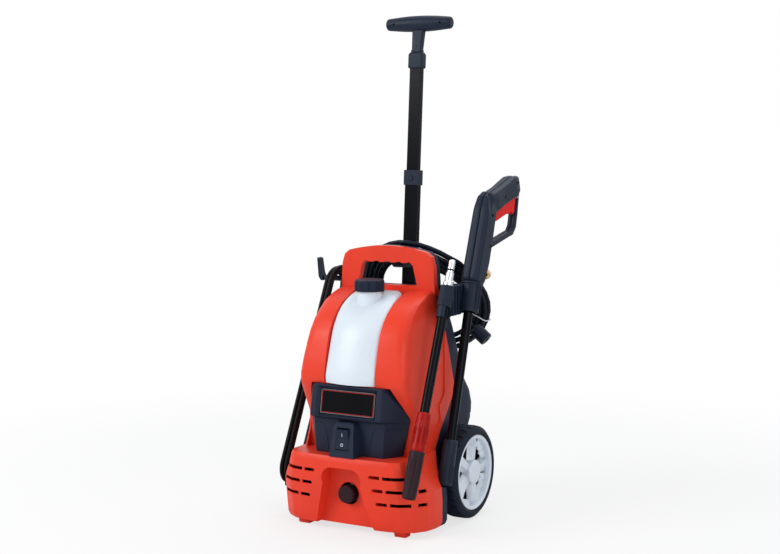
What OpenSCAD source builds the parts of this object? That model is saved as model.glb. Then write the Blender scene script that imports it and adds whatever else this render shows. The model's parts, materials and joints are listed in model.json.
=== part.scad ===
/* [Stance] */
// Radius of the two transport wheels
wheel_r = 85; // [82:0.5:88]
// Width of each tyre
tyre_w = 44; // [40:1:46]
// Distance between the outer faces of the wheels
track = 314; // [312:1:318]
// Diameter of the axle
axle_d = 12; // [8:0.5:14]
// Height of the housing's underside above the floor
ground_gap = 12; // [10:0.5:16]
// Width of each front foot
foot_w = 22; // [16:1:26]

/* [Housing] */
// Wall of the moulded shells
wall = 3; // [2.5:0.1:3.5]
// Height of the base block's ledge
ledge_z = 137; // [134:0.5:139]
// Height of the knee above the control panel
knee_z = 262; // [260:0.5:264]
// Height of the shoulders
shoulder_z = 419; // [417:0.5:421]
// Half width of the skirt at the floor
skirt_x = 150; // [144:0.5:152]
// Depth of the front arch
arch_depth = 27; // [20:0.5:30]
// Radius of the hole round the outlet
outlet_hole_r = 20; // [18.5:0.25:22]
// Height of the outlet's axis
outlet_z = 68; // [64:0.5:72]
// Height of one air slot
slot_h = 6; // [4:0.25:7]

/* [Carry handle] */
// Height of the handle's crown
crown_z = 498; // [492:0.5:504]
// Thickness of the handle, front to back
grip_depth = 26; // [22:0.5:28]
// Height of the hand opening
hand_gap = 42; // [36:0.5:44]
// Half width of the hand opening at its foot
hand_half_w = 62; // [56:0.5:66]

/* [Detergent tank] */
// Half width of the tank
tank_half_w = 51.7; // [48:0.1:52.5]
// Wall of the tank
tank_wall = 2.2; // [1.6:0.1:3]
// Radius of the filler neck
neck_r = 22; // [20:0.25:23]
// Radius of the tank cap
cap_r = 27; // [25:0.25:28]
// Height of the tank cap
cap_h = 21; // [18:0.5:25]

/* [Control panel] */
// Half width of the nameplate
plate_half_w = 56; // [50:0.5:58]
// Width of the rocker
rocker_w = 24; // [18:0.5:26]
// Height of the rocker
rocker_h = 38; // [30:0.5:40]

/* [Telescopic pull] */
// Width of the lower tube
outer_w = 27; // [25:0.25:28]
// Depth of the lower tube
outer_d = 14; // [13:0.25:15]
// Wall of both tubes
tube_wall = 1.2; // [1:0.1:1.6]
// Running clearance between sliding tubes
tube_play = 0.25; // [0.2:0.05:0.4]
// Height of the lower tube's top
outer_top = 631; // [610:1:640]
// Height of the upper tube's collar
collar_z = 822; // [800:1:830]
// Length of the pull bar
bar_len = 135; // [110:1:150]
// Radius of the pull bar at its middle
bar_r = 15; // [12:0.25:16]

/* [Gun and lances] */
// Radius of the lance tubes
lance_r = 8.3; // [7:0.1:8.5]
// Radius of the nozzle sleeves
nozzle_r = 13; // [11.5:0.25:13.5]
// Clearance of the holder's ring round a lance sleeve
ring_play = 1; // [0.6:0.1:1.4]
// Half thickness of the gun's body
gun_half = 17; // [15:0.25:18]
// Half thickness of the trigger
trigger_half = 6.5; // [5:0.25:7]

/* [Motor and pump] */
// Radius of the motor's can
can_r = 46; // [42:0.5:48]
// Radius of the motor's shaft
shaft_r = 5; // [4:0.25:6]
// Air gap between rotor and stator
air_gap = 0.6; // [0.4:0.1:1]

/* [Hose and cord] */
// Diameter of the high-pressure hose
hose_d = 8.6; // [8:0.1:9]
// Diameter of the mains cord
cord_d = 7.2; // [6.8:0.1:7.5]

/* [Hidden] */
$fn = 48;

red = [0.91, 0.24, 0.18];
black = [0.11, 0.13, 0.18];
navy = [0.12, 0.15, 0.22];
silver = [0.84, 0.87, 0.91];
brass = [0.78, 0.62, 0.36];
steel = [0.7, 0.72, 0.75];
rubber = [0.08, 0.09, 0.11];
clear = [0.88, 0.93, 0.98];

eps = 0.01;
// Gap between faces that must not touch
seat = 0.3;
// Length of anything that cuts right through
through = 400;

// Hose coil: turns that spiral in and out again in two layers
coil_rings = 24;
coil_turns = 6.5;
coil_pitch = 11;
coil_layer = 11.5;
coil_mid = [22, 0, 395];
coil_half_w = 113;
coil_half_h = 107;
coil_shear = 22;
coil_start = 45;

// ---------- lofts ----------
function flip(points) = [for (i = [len(points) - 1:-1:0]) points[i]];
function quarter(cx, cy, r, from, steps = 4) =
    [for (i = [0:steps]) [cx + r * cos(from + i * 90 / steps), cy + r * sin(from + i * 90 / steps)]];

// Plan outline, counter-clockwise: front edge at y = front bowed forward in the
// middle, sides at +-half, back edge at y = back, corners rounded
function plan(front, half, front_r, back, back_r, bow = 0) = concat(
    bow == 0 ? [] : [for (t = [-0.75:0.375:0.75])
        [t * (half - front_r), front - bow * (1 - t * t)]],
    quarter(half - front_r, front + front_r, front_r, -90),
    quarter(half - back_r, back - back_r, back_r, 0),
    quarter(back_r - half, back - back_r, back_r, 90),
    quarter(front_r - half, front + front_r, front_r, 180)
);

function lift(outline, z) = [for (p = outline) [p[0], p[1], z]];

// Solid through a list of rings with the same number of points
module loft(rings) {
    n = len(rings[0]);
    last = len(rings) - 1;
    sides = [for (k = [0:last - 1], i = [0:n - 1])
        let (a = k * n + i, b = k * n + (i + 1) % n)
        each [[a, a + n, b], [b, a + n, b + n]]];
    polyhedron(
        points = [for (ring = rings, p = ring) p],
        faces = concat(sides, [[for (i = [0:n - 1]) i]], [flip([for (i = [0:n - 1]) last * n + i])])
    );
}

// Box from corner to corner
module block(low, high) {
    translate(low) cube(high - low);
}

// Bar with round ends between two points of a profile
module bar2d(p, q, w) {
    d = q - p;
    translate(p) rotate(atan2(d[1], d[0])) translate([0, -w / 2]) square([norm(d), w]);
    for (c = [p, q])
        translate(c) circle(d = w);
}

// Profile in (y, z) made solid across x from -half to half
module across(half) {
    rotate([90, 0, 90]) translate([0, 0, -half]) linear_extrude(2 * half) children();
}

// ---------- housing ----------
// Back of the housing at each height
back_line = [
    [0, 56], [137, 62], [150, 67], [160, 84], [190, 88], [220, 82],
    [232, 69], [240, 61], [300, 42], [349, 28], [395, 5], [500, -28]
];
function back_at(z) = lookup(z, back_line);

// Stations of the upper body: height, front, half width, front corner
body_stations = [
    [ledge_z - 4, -168, 112, 14],
    [ledge_z + 33, -152, 112, 14],
    [200, -150, 113, 14],
    [225, -163, 113, 14],
    [250, -178, 111, 14],
    [knee_z, -184, 110, 14],
    [knee_z + 13, -185, 109, 14],
    [300, -181, 107, 16],
    [330, -174, 104, 18],
    [350, -168, 102, 20],
    [370, -156, 101, 22],
    [385, -142, 99, 22],
    [400, -122, 98, 20],
    [shoulder_z - 9, -98, 97, 18],
    [shoulder_z - 3, -82, 95, 16],
    [shoulder_z, -70, 91, 14]
];
// Stations of the base block: height, front, half width, front corner
base_stations = [
    [ground_gap, -200, skirt_x - 4, 60],
    [ground_gap + 8, -204, skirt_x, 64],
    [60, -211, skirt_x, 66],
    [82, -214, skirt_x - 2, 62],
    [96, -215, skirt_x - 12, 50],
    [112, -215, skirt_x - 23, 38],
    [130, -213, skirt_x - 31, 28],
    [ledge_z, -210, skirt_x - 34, 26]
];
back_r = 24;
body_bow = 5;
base_bow = 4;

module body_form() {
    loft([for (s = body_stations)
        lift(plan(s[1], s[2], s[3], back_at(s[0]), back_r, body_bow), s[0])]);
}

module base_form() {
    loft([for (s = base_stations)
        lift(plan(s[1], s[2], s[3], back_at(s[0]), back_r, base_bow), s[0])]);
}

// Wheel wells on both sides
well_x = track / 2 - tyre_w - 7;
well_r = wheel_r + 11;
well_front = 102;
module wheel_wells() {
    for (side = [-1, 1])
        translate([side * (well_x + through / 2), 0, wheel_r]) {
            rotate([0, 90, 0]) cylinder(r = well_r, h = through, center = true, $fn = 64);
            translate([-through / 2, 0, -through]) cube([through, through, through + well_r]);
            translate([-through / 2, -well_front, -through]) cube([through, through, through]);
        }
}

// Room inside the housing: the base, and the body behind the control panel and round the tank
panel_back = -149;
bay_back = -72;
inside_base = [for (s = base_stations) if (s[0] > ground_gap + 1 && s[0] < ledge_z - 1) s];
inside_body = [
    [ledge_z - 12, panel_back + wall, 112, 14],
    [200, panel_back + wall, 113, 14],
    [knee_z + 2, panel_back + wall, 110, 14],
    [knee_z + 6, -184 + wall, 109, 14],
    [300, -181 + wall, 107, 16],
    [330, -174 + wall, 104, 18],
    [350, -168 + wall, 102, 20],
    [370, -155 + wall, 101, 22],
    [385, -140 + wall, 99, 22],
    [400, -118 + wall, 98, 20],
    [408, -96 + wall, 96, 18]
];
module room() {
    difference() {
        union() {
            loft([for (s = inside_base)
                lift(plan(s[1] + wall, s[2] - wall, s[3] - wall, back_at(s[0]) - wall, back_r - wall, base_bow),
                    s[0] < ground_gap + 10 ? ground_gap + wall : s[0] > ledge_z - 10 ? ledge_z - wall : s[0])]);
            loft([for (s = inside_body)
                lift(plan(s[1], s[2] - wall, s[3] - wall, back_at(s[0]) - wall, back_r - wall), s[0])]);
        }
        block([-66, -300, 0], [66, -183, ledge_z]);
        block([-tank_half_w - seat - wall, -300, knee_z - wall], [tank_half_w + seat + wall, bay_back + wall, 500]);
        well_walls();
        sleeve_groove(wall);
    }
}

// Groove in the right skirt that the gun's lance stands in
groove_r = nozzle_r + 1.5;
module sleeve_groove(grow = 0) {
    on_gun() translate([0, 0, sleeve_foot - 3 - grow]) {
        cylinder(r = groove_r + grow, h = 120);
        translate([0, -groove_r - grow, 0]) cube([60, 2 * (groove_r + grow), 120]);
    }
}

// The wells keep a wall of their own
module well_walls() {
    for (side = [-1, 1])
        translate([side * (well_x - wall + through / 2), 0, wheel_r]) {
            rotate([0, 90, 0]) cylinder(r = well_r + wall, h = through, center = true, $fn = 64);
            translate([-through / 2, 0, -through])
                cube([through, through, through + well_r + wall]);
            translate([-through / 2, -well_front - wall, -through])
                cube([through, through, through]);
        }
}

// Side view of the line where the red front meets the black back
seam = [
    [-120, -1], [-120, 84], [-104, 102], [-60, 170], [-4, 240], [-26, 362], [-34, 418], [-40, 430], [-40, 600]
];
module front_zone() {
    across(through) polygon(concat(seam, [[-500, 600], [-500, -1]]));
}

// Carry handle: an arched loop whose crown is an arc
crown_r = 320;
loop_half = 98;
loop_foot = shoulder_z - 8;
hand_z = crown_z - 29;
module loop_outline() {
    intersection() {
        translate([0, crown_z - crown_r]) circle(r = crown_r, $fn = 160);
        polygon([
            [-loop_half, loop_foot], [loop_half, loop_foot], [loop_half - 3, crown_z - 34],
            [loop_half - 8, crown_z - 18], [loop_half - 18, crown_z - 10], [loop_half - 30, crown_z],
            [30 - loop_half, crown_z], [18 - loop_half, crown_z - 10],
            [8 - loop_half, crown_z - 18], [3 - loop_half, crown_z - 34]
        ]);
    }
}
// The hand opening, with four finger scallops under the grip
hand_r = 9;
scallop_r = 24;
module hand_outline() {
    difference() {
        polygon([
            [-hand_half_w, hand_z - hand_gap], [hand_half_w, hand_z - hand_gap],
            [hand_half_w - 9, hand_z - 6], [hand_half_w - 18, hand_z + 3],
            [18 - hand_half_w, hand_z + 3], [9 - hand_half_w, hand_z - 6]
        ]);
        for (i = [-1.5:1:1.5])
            translate([i * 23, hand_z + scallop_r - 1.6]) circle(r = scallop_r, $fn = 96);
    }
}
handle_front = -53;
module handle_loop(front, back) {
    translate([0, back, 0]) rotate([90, 0, 0]) linear_extrude(back - front) difference() {
        loop_outline();
        hand_outline();
    }
}

// Bay for the control panel, open to the front
module panel_bay() {
    translate([0, panel_back, 0]) rotate([90, 0, 0]) linear_extrude(through) polygon([
        [-104.4, ledge_z], [104.4, ledge_z], [104.4, 199], [80.4, knee_z - 1.5], [-80.4, knee_z - 1.5],
        [-104.4, 199]
    ]);
}
// Bay for the detergent tank, open to the front and the top
module tank_bay() {
    block([-tank_half_w - seat, -through, knee_z], [tank_half_w + seat, bay_back, shoulder_z + 40]);
}

// Arch in the base's front, a tall opening with a round head
arch_top = 118;
module arch() {
    translate([0, -216 + arch_depth, 0]) rotate([90, 0, 0]) linear_extrude(through) {
        polygon([[-62, -1], [62, -1], [36, arch_top - 22], [-36, arch_top - 22]]);
        translate([-22, arch_top - 24]) square([44, 24]);
        for (side = [-1, 1])
            translate([side * 20, arch_top - 20]) circle(r = 20);
    }
}

// One row of air slots wraps each front corner; a rib splits every slot
slot_rows = [[109, 55], [86, 61], [62, 67]];
slot_rib = 5;
module air_slots() {
    for (side = [-1, 1], row = slot_rows) {
        z = row[0];
        inner = row[1];
        mid = inner + 24;
        // front face, inner half with a round end
        translate([side * (inner + slot_h / 2), -190, z])
            rotate([90, 0, 0]) cylinder(d = slot_h, h = 60, $fn = 24);
        block_x(side, inner + slot_h / 2, mid - slot_rib / 2, -250, -190, z);
        block_x(side, mid + slot_rib / 2, 128, -250, -184, z);
        // side face
        block_x(side, 96, 170, -184, -166, z);
    }
}
module block_x(side, x0, x1, y0, y1, z) {
    translate([side * (x0 + x1) / 2, (y0 + y1) / 2, z])
        cube([x1 - x0, y1 - y0, slot_h], center = true);
}

// Raised swoosh panel on each flank, with a stepped lower edge
module flank_panels() {
    for (side = [-1, 1])
        intersection() {
            translate([side * 104, 0, 0])
                rotate([90, 0, 90]) linear_extrude(24, center = true) polygon([
                    [-30, 330], [-44, 236], [-66, 214], [-60, 190], [-96, 150], [-108, 112], [-90, 104],
                    [-58, 172], [-2, 242], [-24, 345]
                ]);
            loft([for (s = body_stations)
                lift(plan(s[1], s[2] + 2.5, s[3], back_at(s[0]), back_r), s[0])]);
        }
}

module front_shell() {
    color(red) difference() {
        union() {
            intersection() {
                difference() {
                    union() {
                        body_form();
                        base_form();
                    }
                    room();
                }
                front_zone();
            }
            intersection() {
                difference() {
                    flank_panels();
                    room();
                }
                front_zone();
            }
            intersection() {
                handle_loop(handle_front, handle_front + grip_depth);
                front_zone();
            }
        }
        panel_bay();
        tank_bay();
        arch();
        air_slots();
        wheel_wells();
        sleeve_groove();
        hook_bore();
        translate([0, -170, outlet_z]) rotate([90, 0, 0]) cylinder(r = outlet_hole_r, h = 40);
    }
}

// Lean of the pull's tubes and the point where their axis meets a height
pull_lean = 3.8;
pull_foot_y = 11.5;
pull_foot_z = 100;
module on_pull(z) {
    translate([0, pull_foot_y + (z - pull_foot_z) * tan(pull_lean), z])
        rotate([-pull_lean, 0, 0]) children();
}
socket_wall = 3;
socket_top = 352;
module socket_body() {
    on_pull(pull_foot_z) translate([-outer_w / 2 - socket_wall, -outer_d / 2 - socket_wall, 0])
        cube([outer_w + 2 * socket_wall, outer_d + 2 * socket_wall, socket_top - pull_foot_z]);
}
module socket_bore() {
    on_pull(pull_foot_z)
        translate([-outer_w / 2 - tube_play, -outer_d / 2 - tube_play, socket_wall])
            cube([outer_w + 2 * tube_play, outer_d + 2 * tube_play, through]);
}

// Hook behind the handle's crown, close under the inmost turns of the hose
peg_half = 12;
peg_z = coil_mid[2] + coil_half_h - coil_pitch * coil_turns / 2 - hose_d / 2 - seat;
module hose_peg() {
    across(peg_half) polygon([
        [-28, crown_z - 8], [-28, peg_z + 14], [-20, peg_z + 2], [-8, peg_z - 7], [16, peg_z - 8],
        [22, peg_z - 5], [22, peg_z], [0, peg_z], [-6, peg_z + 8], [-14, crown_z - 14], [-22, crown_z - 8]
    ]);
}

// Air grille in the motor bulge
grille_rows = 7;
grille_pitch = 9;
module rear_grille() {
    for (i = [0:grille_rows - 1])
        translate([-48, 60, 160 + i * grille_pitch]) cube([96, 80, grille_pitch - 5]);
}

inlet_x = 60;
inlet_z = 112;
gland_x = -70;
gland_z = 112;
gland_r = 9;
bearer_r = axle_d / 2 + 6;
plinth_r = 30;
pump_y = -76;
pump_foot = 24;
module rear_shell() {
    color(black) difference() {
        union() {
            difference() {
                union() {
                    body_form();
                    base_form();
                }
                room();
                front_zone();
                rear_grille();
            }
            difference() {
                union() {
                    socket_body();
                    hose_peg();
                    for (side = [-1, 1])
                        translate([side * (well_x - wall - 12), 0, wheel_r])
                            rotate([0, 90, 0]) cylinder(r = bearer_r, h = 30, center = true);
                    translate([0, pump_y, ground_gap + 1])
                        cylinder(r = plinth_r, h = pump_foot - ground_gap - 1);
                }
                front_zone();
            }
            difference() {
                handle_loop(handle_front, handle_front + grip_depth);
                front_zone();
            }
        }
        socket_bore();
        hook_bore();
        sleeve_groove();
        wheel_wells();
        tank_bay();
        translate([0, 0, wheel_r])
            rotate([0, 90, 0]) cylinder(d = axle_d + 0.1, h = through, center = true);
        translate([inlet_x, 20, inlet_z])
            rotate([-90, 0, 0]) cylinder(r = inlet_r + 0.05, h = 80);
        translate([gland_x, 20, gland_z]) rotate([-90, 0, 0]) cylinder(r = gland_r, h = 80);
    }
}

// ---------- feet ----------
foot_x = 99;
module front_feet() {
    color(red)
        for (side = [-1, 1])
            translate([side * foot_x, 0, 0]) across(foot_w / 2)
                polygon([[-182, 0], [-165, 0], [-160, ground_gap], [-186, ground_gap]]);
}

// ---------- detergent tank ----------
// Stations of the tank: height, front edge, half width, corner
tank_stations = [
    [knee_z + seat, -189, 0, 9],
    [275, -190, 0, 9],
    [290, -186, 0, 9],
    [310, -180, 0, 9],
    [330, -174, 0, 9],
    [350, -167, 0, 9],
    [365, -159, 0, 9],
    [380, -148, 0, 9],
    [392, -136, 0.5, 9],
    [402, -122, 1.5, 9],
    [410, -109, 4, 9],
    [415, -100, 8, 8],
    [shoulder_z, -92, 15, 6]
];
tank_bow = 8;
neck_y = -117;
neck_top = 421;
module tank_form(inset, top) {
    loft([for (s = tank_stations)
        lift(plan(s[1] + inset, tank_half_w - s[2] - inset, s[3] - inset / 2, bay_back - seat - inset,
            s[3] - inset / 2, tank_bow),
            s[0] < knee_z + 1 ? s[0] + inset : min(s[0], top))]);
}
// A raised panel runs down the tank's middle
panel_half = 25;
panel_proud = 1.6;
module tank_panel() {
    loft([for (s = tank_stations) if (s[0] > 280 && s[0] < 395)
        lift(plan(s[1] - panel_proud, panel_half + (s[0] < 300 ? -3 : 0), 4, bay_back - 10, 4, tank_bow - 2),
            s[0])]);
}
module detergent_tank() {
    color(clear, 0.8) difference() {
        union() {
            tank_form(0, shoulder_z);
            tank_panel();
            translate([0, neck_y, 385]) cylinder(r = neck_r, h = neck_top - 385);
        }
        tank_form(tank_wall, shoulder_z - tank_wall);
        translate([0, neck_y, 385]) cylinder(r = neck_r - 3, h = 60);
    }
}

cap_ribs = 12;
plug_play = 0.08;
module tank_cap() {
    color(black) translate([0, neck_y, neck_top + seat]) {
        difference() {
            rotate_extrude() polygon([
                [0, 0], [cap_r, 0], [cap_r, cap_h - 4], [cap_r - 1.5, cap_h - 1], [cap_r - 4, cap_h],
                [6, cap_h + 1], [0, cap_h + 1]
            ]);
            for (i = [0:cap_ribs - 1])
                rotate(i * 360 / cap_ribs)
                    translate([cap_r + 1.2, 0, -1]) cylinder(r = 2.6, h = cap_h - 2, $fn = 16);
        }
        translate([0, 0, -8]) cylinder(r = neck_r - 3 - plug_play, h = 8 + eps);
    }
}

// ---------- control panel ----------
// Stations of the panel: height, face, half width of the face, half width at the wings, front of the wings
bezel_stations = [
    [ledge_z + 0.05, -188, 68, 88, -154],
    [ledge_z + 3, -189, 68, 88, -154],
    [198, -189, 72, 101, -152],
    [204, -203, 71, 101, -152],
    [210, -203.5, 71, 99.4, -152],
    [knee_z - 6, -196, 70, 81.2, -152],
    [knee_z - 2, -192, 68, 80, -152]
];
module bezel_form() {
    loft([for (s = bezel_stations) lift([
        [-s[2], s[1]], [-s[2] / 2, s[1] - 1], [s[2] / 2, s[1] - 1], [s[2], s[1]],
        [s[2] + 3, s[1] + 4], [s[3], s[4]], [s[3], panel_back - seat],
        [-s[3], panel_back - seat], [-s[3], s[4]], [-s[2] - 3, s[1] + 4]
    ], s[0])]);
}
// The raised pod that holds the rocker
pod_foot = -217;
module pod() {
    loft([
        lift([[-28, -185], [-25, pod_foot], [25, pod_foot], [28, -185]], ledge_z + 0.5),
        lift([[-26, -185], [-23, pod_foot + 3], [23, pod_foot + 3], [26, -185]], ledge_z + 20),
        lift([[-24, -185], [-20, pod_foot + 10], [20, pod_foot + 10], [24, -185]], ledge_z + 54),
        lift([[-20, -185], [-16, pod_foot + 16], [16, pod_foot + 16], [20, -185]], ledge_z + 60)
    ]);
}
// The nameplate lies in the sloping face
plate_tilt = 9.3;
plate_z = 231;
plate_h = 45;
plate_depth = 7;
plate_t = 1.2;
module on_plate() {
    translate([0, -199.8, plate_z])
        rotate([-plate_tilt, 0, 0]) translate([0, plate_depth, 0]) children();
}
module upright_plate(half, h, t) {
    translate([-half, -t, -h / 2]) cube([2 * half, t, h]);
}
// Pocket with sloping sides that frames the nameplate
function pocket_ring(grow, h) = let (x = plate_half_w + seat + grow, z = plate_h / 2 + seat + grow)
    lift([[-x, -z], [x, -z], [x, z], [-x, z]], h);
module plate_pocket() {
    rotate([90, 0, 0])
        loft([pocket_ring(0, 0), pocket_ring(0, plate_t), pocket_ring(7, plate_depth + 3)]);
}
// The rocker lies in the pod's face
pod_tilt = 10.6;
rocker_z = 169;
rocker_y = -210.5;
module on_pod() {
    translate([0, rocker_y, rocker_z]) rotate([-pod_tilt, 0, 0]) children();
}
frame_lip = 2.5;
module rocker_cut(grow, depth) {
    translate([-rocker_w / 2 - grow, -20, -rocker_h / 2 - grow])
        cube([rocker_w + 2 * grow, 20 + depth, rocker_h + 2 * grow]);
}
module control_bezel() {
    color(navy) difference() {
        union() {
            bezel_form();
            pod();
        }
        on_plate() plate_pocket();
        on_pod() rocker_cut(frame_lip, 26);
        // hollow back
        block([-70, -175, ledge_z + 6], [70, through, knee_z - 8]);
    }
}
module nameplate() {
    color(black) on_plate() upright_plate(plate_half_w, plate_h, plate_t);
}
module rocker_frame() {
    color(black) on_pod() difference() {
        translate([-rocker_w / 2 - frame_lip, -1.5, -rocker_h / 2 - frame_lip])
            cube([rocker_w + 2 * frame_lip, 25, rocker_h + 2 * frame_lip]);
        translate([-rocker_w / 2 - 0.5, -20, -rocker_h / 2 - 0.5])
            cube([rocker_w + 1, 36, rocker_h + 1]);
        for (side = [-1, 1])
            translate([side * (rocker_w / 2 + frame_lip / 2), 6, 0])
                rotate([0, 90, 0]) cylinder(r = 2.05, h = frame_lip + 1, center = true);
    }
}
rocker_throw = 8;
module rocker() {
    color(black) on_pod() translate([0, 6, 0]) rotate([rocker_throw, 0, 0]) {
        across(rocker_w / 2) polygon([
            [-10, -rocker_h / 2 + 2], [-7.5, 0], [-10, rocker_h / 2 - 2],
            [-2, rocker_h / 2 - 1], [5, 6], [5, -6], [-2, -rocker_h / 2 + 1]
        ]);
        rotate([0, 90, 0])
            cylinder(r = 2, h = rocker_w + 2 * frame_lip - 1, center = true);
    }
}

// ---------- outlet and inlet ----------
fitting_r = 10;
outlet_end = -196;
module outlet_fitting() {
    color(brass) translate([0, pump_front, outlet_z]) rotate([90, 0, 0]) {
        difference() {
            union() {
                cylinder(r = fitting_r, h = pump_front - outlet_end);
                cylinder(r = 15, h = 12, $fn = 6);
            }
            translate([0, 0, 5]) cylinder(r = 5, h = 100);
        }
    }
}
outlet_cap_r = 16;
outlet_cap_front = -202;
outlet_cap_len = 16;
module outlet_cap() {
    color(black) translate([0, outlet_cap_front, outlet_z]) rotate([-90, 0, 0]) difference() {
        rotate_extrude() polygon([
            [0, 0], [outlet_cap_r - 2, 0], [outlet_cap_r, 2],
            [outlet_cap_r, outlet_cap_len], [0, outlet_cap_len]
        ]);
        translate([0, 0, outlet_end - outlet_cap_front - seat])
            cylinder(r = fitting_r + plug_play, h = 40);
        for (i = [0:17])
            rotate(i * 20) translate([outlet_cap_r + 0.8, 0, 3])
                cylinder(r = 1.6, h = outlet_cap_len, $fn = 12);
    }
}
inlet_r = 13;
inlet_out = 82;
module inlet_fitting() {
    color(black) translate([inlet_x, 0, inlet_z]) rotate([-90, 0, 0]) difference() {
        union() {
            cylinder(r = inlet_r, h = inlet_out - 12);
            translate([0, 0, inlet_out - 12]) cylinder(r = 11, h = 12);
            translate([0, 0, back_at(inlet_z + inlet_r + 3) + 0.05])
                cylinder(r = inlet_r + 3, h = 3);
        }
        translate([0, 0, 8]) cylinder(r = 7, h = 100);
    }
}

// ---------- wheels ----------
axle_half = track / 2 - 5;
module axle() {
    color(steel) translate([0, 0, wheel_r])
        rotate([0, 90, 0]) cylinder(d = axle_d, h = 2 * axle_half, center = true);
}
// Wheel parts lie on +Z from their inner face, then turn to face outward
module on_wheel(side) {
    translate([side * (track / 2 - tyre_w), 0, wheel_r]) rotate([0, side * 90, 0]) children();
}
rim_r = wheel_r - 16.6;
hub_r = 22;
treads = 30;
tread_depth = 2.6;
module tyre(side) {
    color(rubber) on_wheel(side) difference() {
        rotate_extrude($fn = 96) polygon([
            [rim_r, 2], [rim_r + 5, 0], [wheel_r - 6, 1.5], [wheel_r - 1, 6],
            [wheel_r, 12], [wheel_r, tyre_w - 12], [wheel_r - 1, tyre_w - 6],
            [wheel_r - 6, tyre_w - 1.5], [rim_r + 5, tyre_w], [rim_r, tyre_w - 2]
        ]);
        for (i = [0:treads - 1], edge = [0, 1])
            rotate(i * 360 / treads + edge * 180 / treads)
                translate([wheel_r - tread_depth, 0, edge == 0 ? -1 : tyre_w / 2 + 4])
                    rotate([edge == 0 ? 16 : -16, 0, 0])
                        translate([0, -1.6, 0]) cube([8, 3.2, tyre_w / 2 - 3]);
    }
}
spokes = 5;
// A faceted spoke whose ridge leans over from hub to rim
module spoke() {
    rotate([0, 90, 0]) loft([
        lift([[-26, -12], [-26, 12], [-35, 6], [-35, -6]], hub_r - 4),
        lift([[-24, -13], [-24, 13], [-36, 8], [-32, -9]], (hub_r + rim_r) / 2),
        lift([[-20, -17], [-20, 17], [-37, 14], [-29, -12]], rim_r - 3)
    ]);
}
module wheel(side) {
    color(silver) on_wheel(side) difference() {
        union() {
            rotate_extrude($fn = 96) polygon([
                [rim_r - 4, 3], [rim_r, 3], [rim_r, tyre_w - 2], [rim_r - 1, tyre_w - 1],
                [rim_r - 6, tyre_w - 3], [rim_r - 7, tyre_w - 10], [rim_r - 4, tyre_w - 16]
            ]);
            cylinder(r = hub_r - 6, h = tyre_w - 6);
            translate([0, 0, tyre_w - 18]) cylinder(r = hub_r, h = 13);
            for (i = [0:spokes - 1])
                rotate(i * 360 / spokes + 18) spoke();
        }
        translate([0, 0, -1]) cylinder(d = axle_d + 0.16, h = tyre_w + 2);
    }
}
module hub_cap(side) {
    color(silver) on_wheel(side) difference() {
        translate([0, 0, tyre_w - 5]) rotate_extrude()
            polygon([[0, 0], [hub_r, 0], [hub_r, 2], [hub_r - 2, 3.6], [hub_r - 8, 4.8], [0, 5]]);
        translate([0, 0, tyre_w - 6]) cylinder(d = axle_d + 1, h = 2.5);
    }
}
module wheel_left() { wheel(-1); }
module wheel_right() { wheel(1); }
module tyre_left() { tyre(-1); }
module tyre_right() { tyre(1); }
module hub_cap_left() { hub_cap(-1); }
module hub_cap_right() { hub_cap(1); }

// ---------- telescopic pull ----------
outer_foot = 280;
inner_foot = 560;
inner_w = outer_w - 2 * tube_wall - 2 * tube_play;
inner_d = outer_d - 2 * tube_wall - 2 * tube_play;
module box_tube(w, d, h) {
    translate([-w / 2, -d / 2, 0]) difference() {
        cube([w, d, h]);
        translate([tube_wall, tube_wall, -1])
            cube([w - 2 * tube_wall, d - 2 * tube_wall, h + 2]);
    }
}
module lower_tube() {
    color(black) on_pull(outer_foot) box_tube(outer_w, outer_d, outer_top - outer_foot);
}
module upper_tube() {
    color(black) on_pull(inner_foot) box_tube(inner_w, inner_d, collar_z + 24 - inner_foot);
}
// Head of the lower tube with the release button
head_h = 26;
head_wall = 2.6;
button_r = 4.5;
module tube_head() {
    color(black) on_pull(outer_top - head_h) difference() {
        translate([-outer_w / 2 - 1.6, -outer_d / 2 - head_wall, 0])
            cube([outer_w + 3.2, outer_d + 2 * head_wall, head_h + 2]);
        translate([-outer_w / 2 - 0.05, -outer_d / 2 - 0.05, -1])
            cube([outer_w + 0.1, outer_d + 0.1, head_h + 1]);
        translate([-inner_w / 2 - tube_play, -inner_d / 2 - tube_play, 0])
            cube([inner_w + 2 * tube_play, inner_d + 2 * tube_play, head_h + 4]);
        translate([0, -outer_d / 2 + 0.1, head_h / 2])
            rotate([90, 0, 0]) cylinder(r = button_r + 0.08, h = 20);
    }
}
button_travel = 0.7;
module tube_latch() {
    color(black)
        on_pull(outer_top - head_h) translate([0, -outer_d / 2 - button_travel - 0.15, head_h / 2])
            rotate([90, 0, 0]) cylinder(r = button_r, h = head_wall + 0.6);
}
collar_w = inner_w + 6;
collar_d = inner_d + 7;
collar_h = 30;
module tube_collar() {
    color(black) on_pull(collar_z) difference() {
        loft([for (s = [[0, 1], [2, 0], [collar_h - 5, 0], [collar_h - 2, 1.2], [collar_h, 3]])
            lift(plan(-collar_d / 2 + s[1], collar_w / 2 - s[1], 3, collar_d / 2 - s[1], 3), s[0])]);
        translate([-inner_w / 2 - 0.05, -inner_d / 2 - 0.05, -1])
            cube([inner_w + 0.1, inner_d + 0.1, 25.1]);
    }
}
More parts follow.
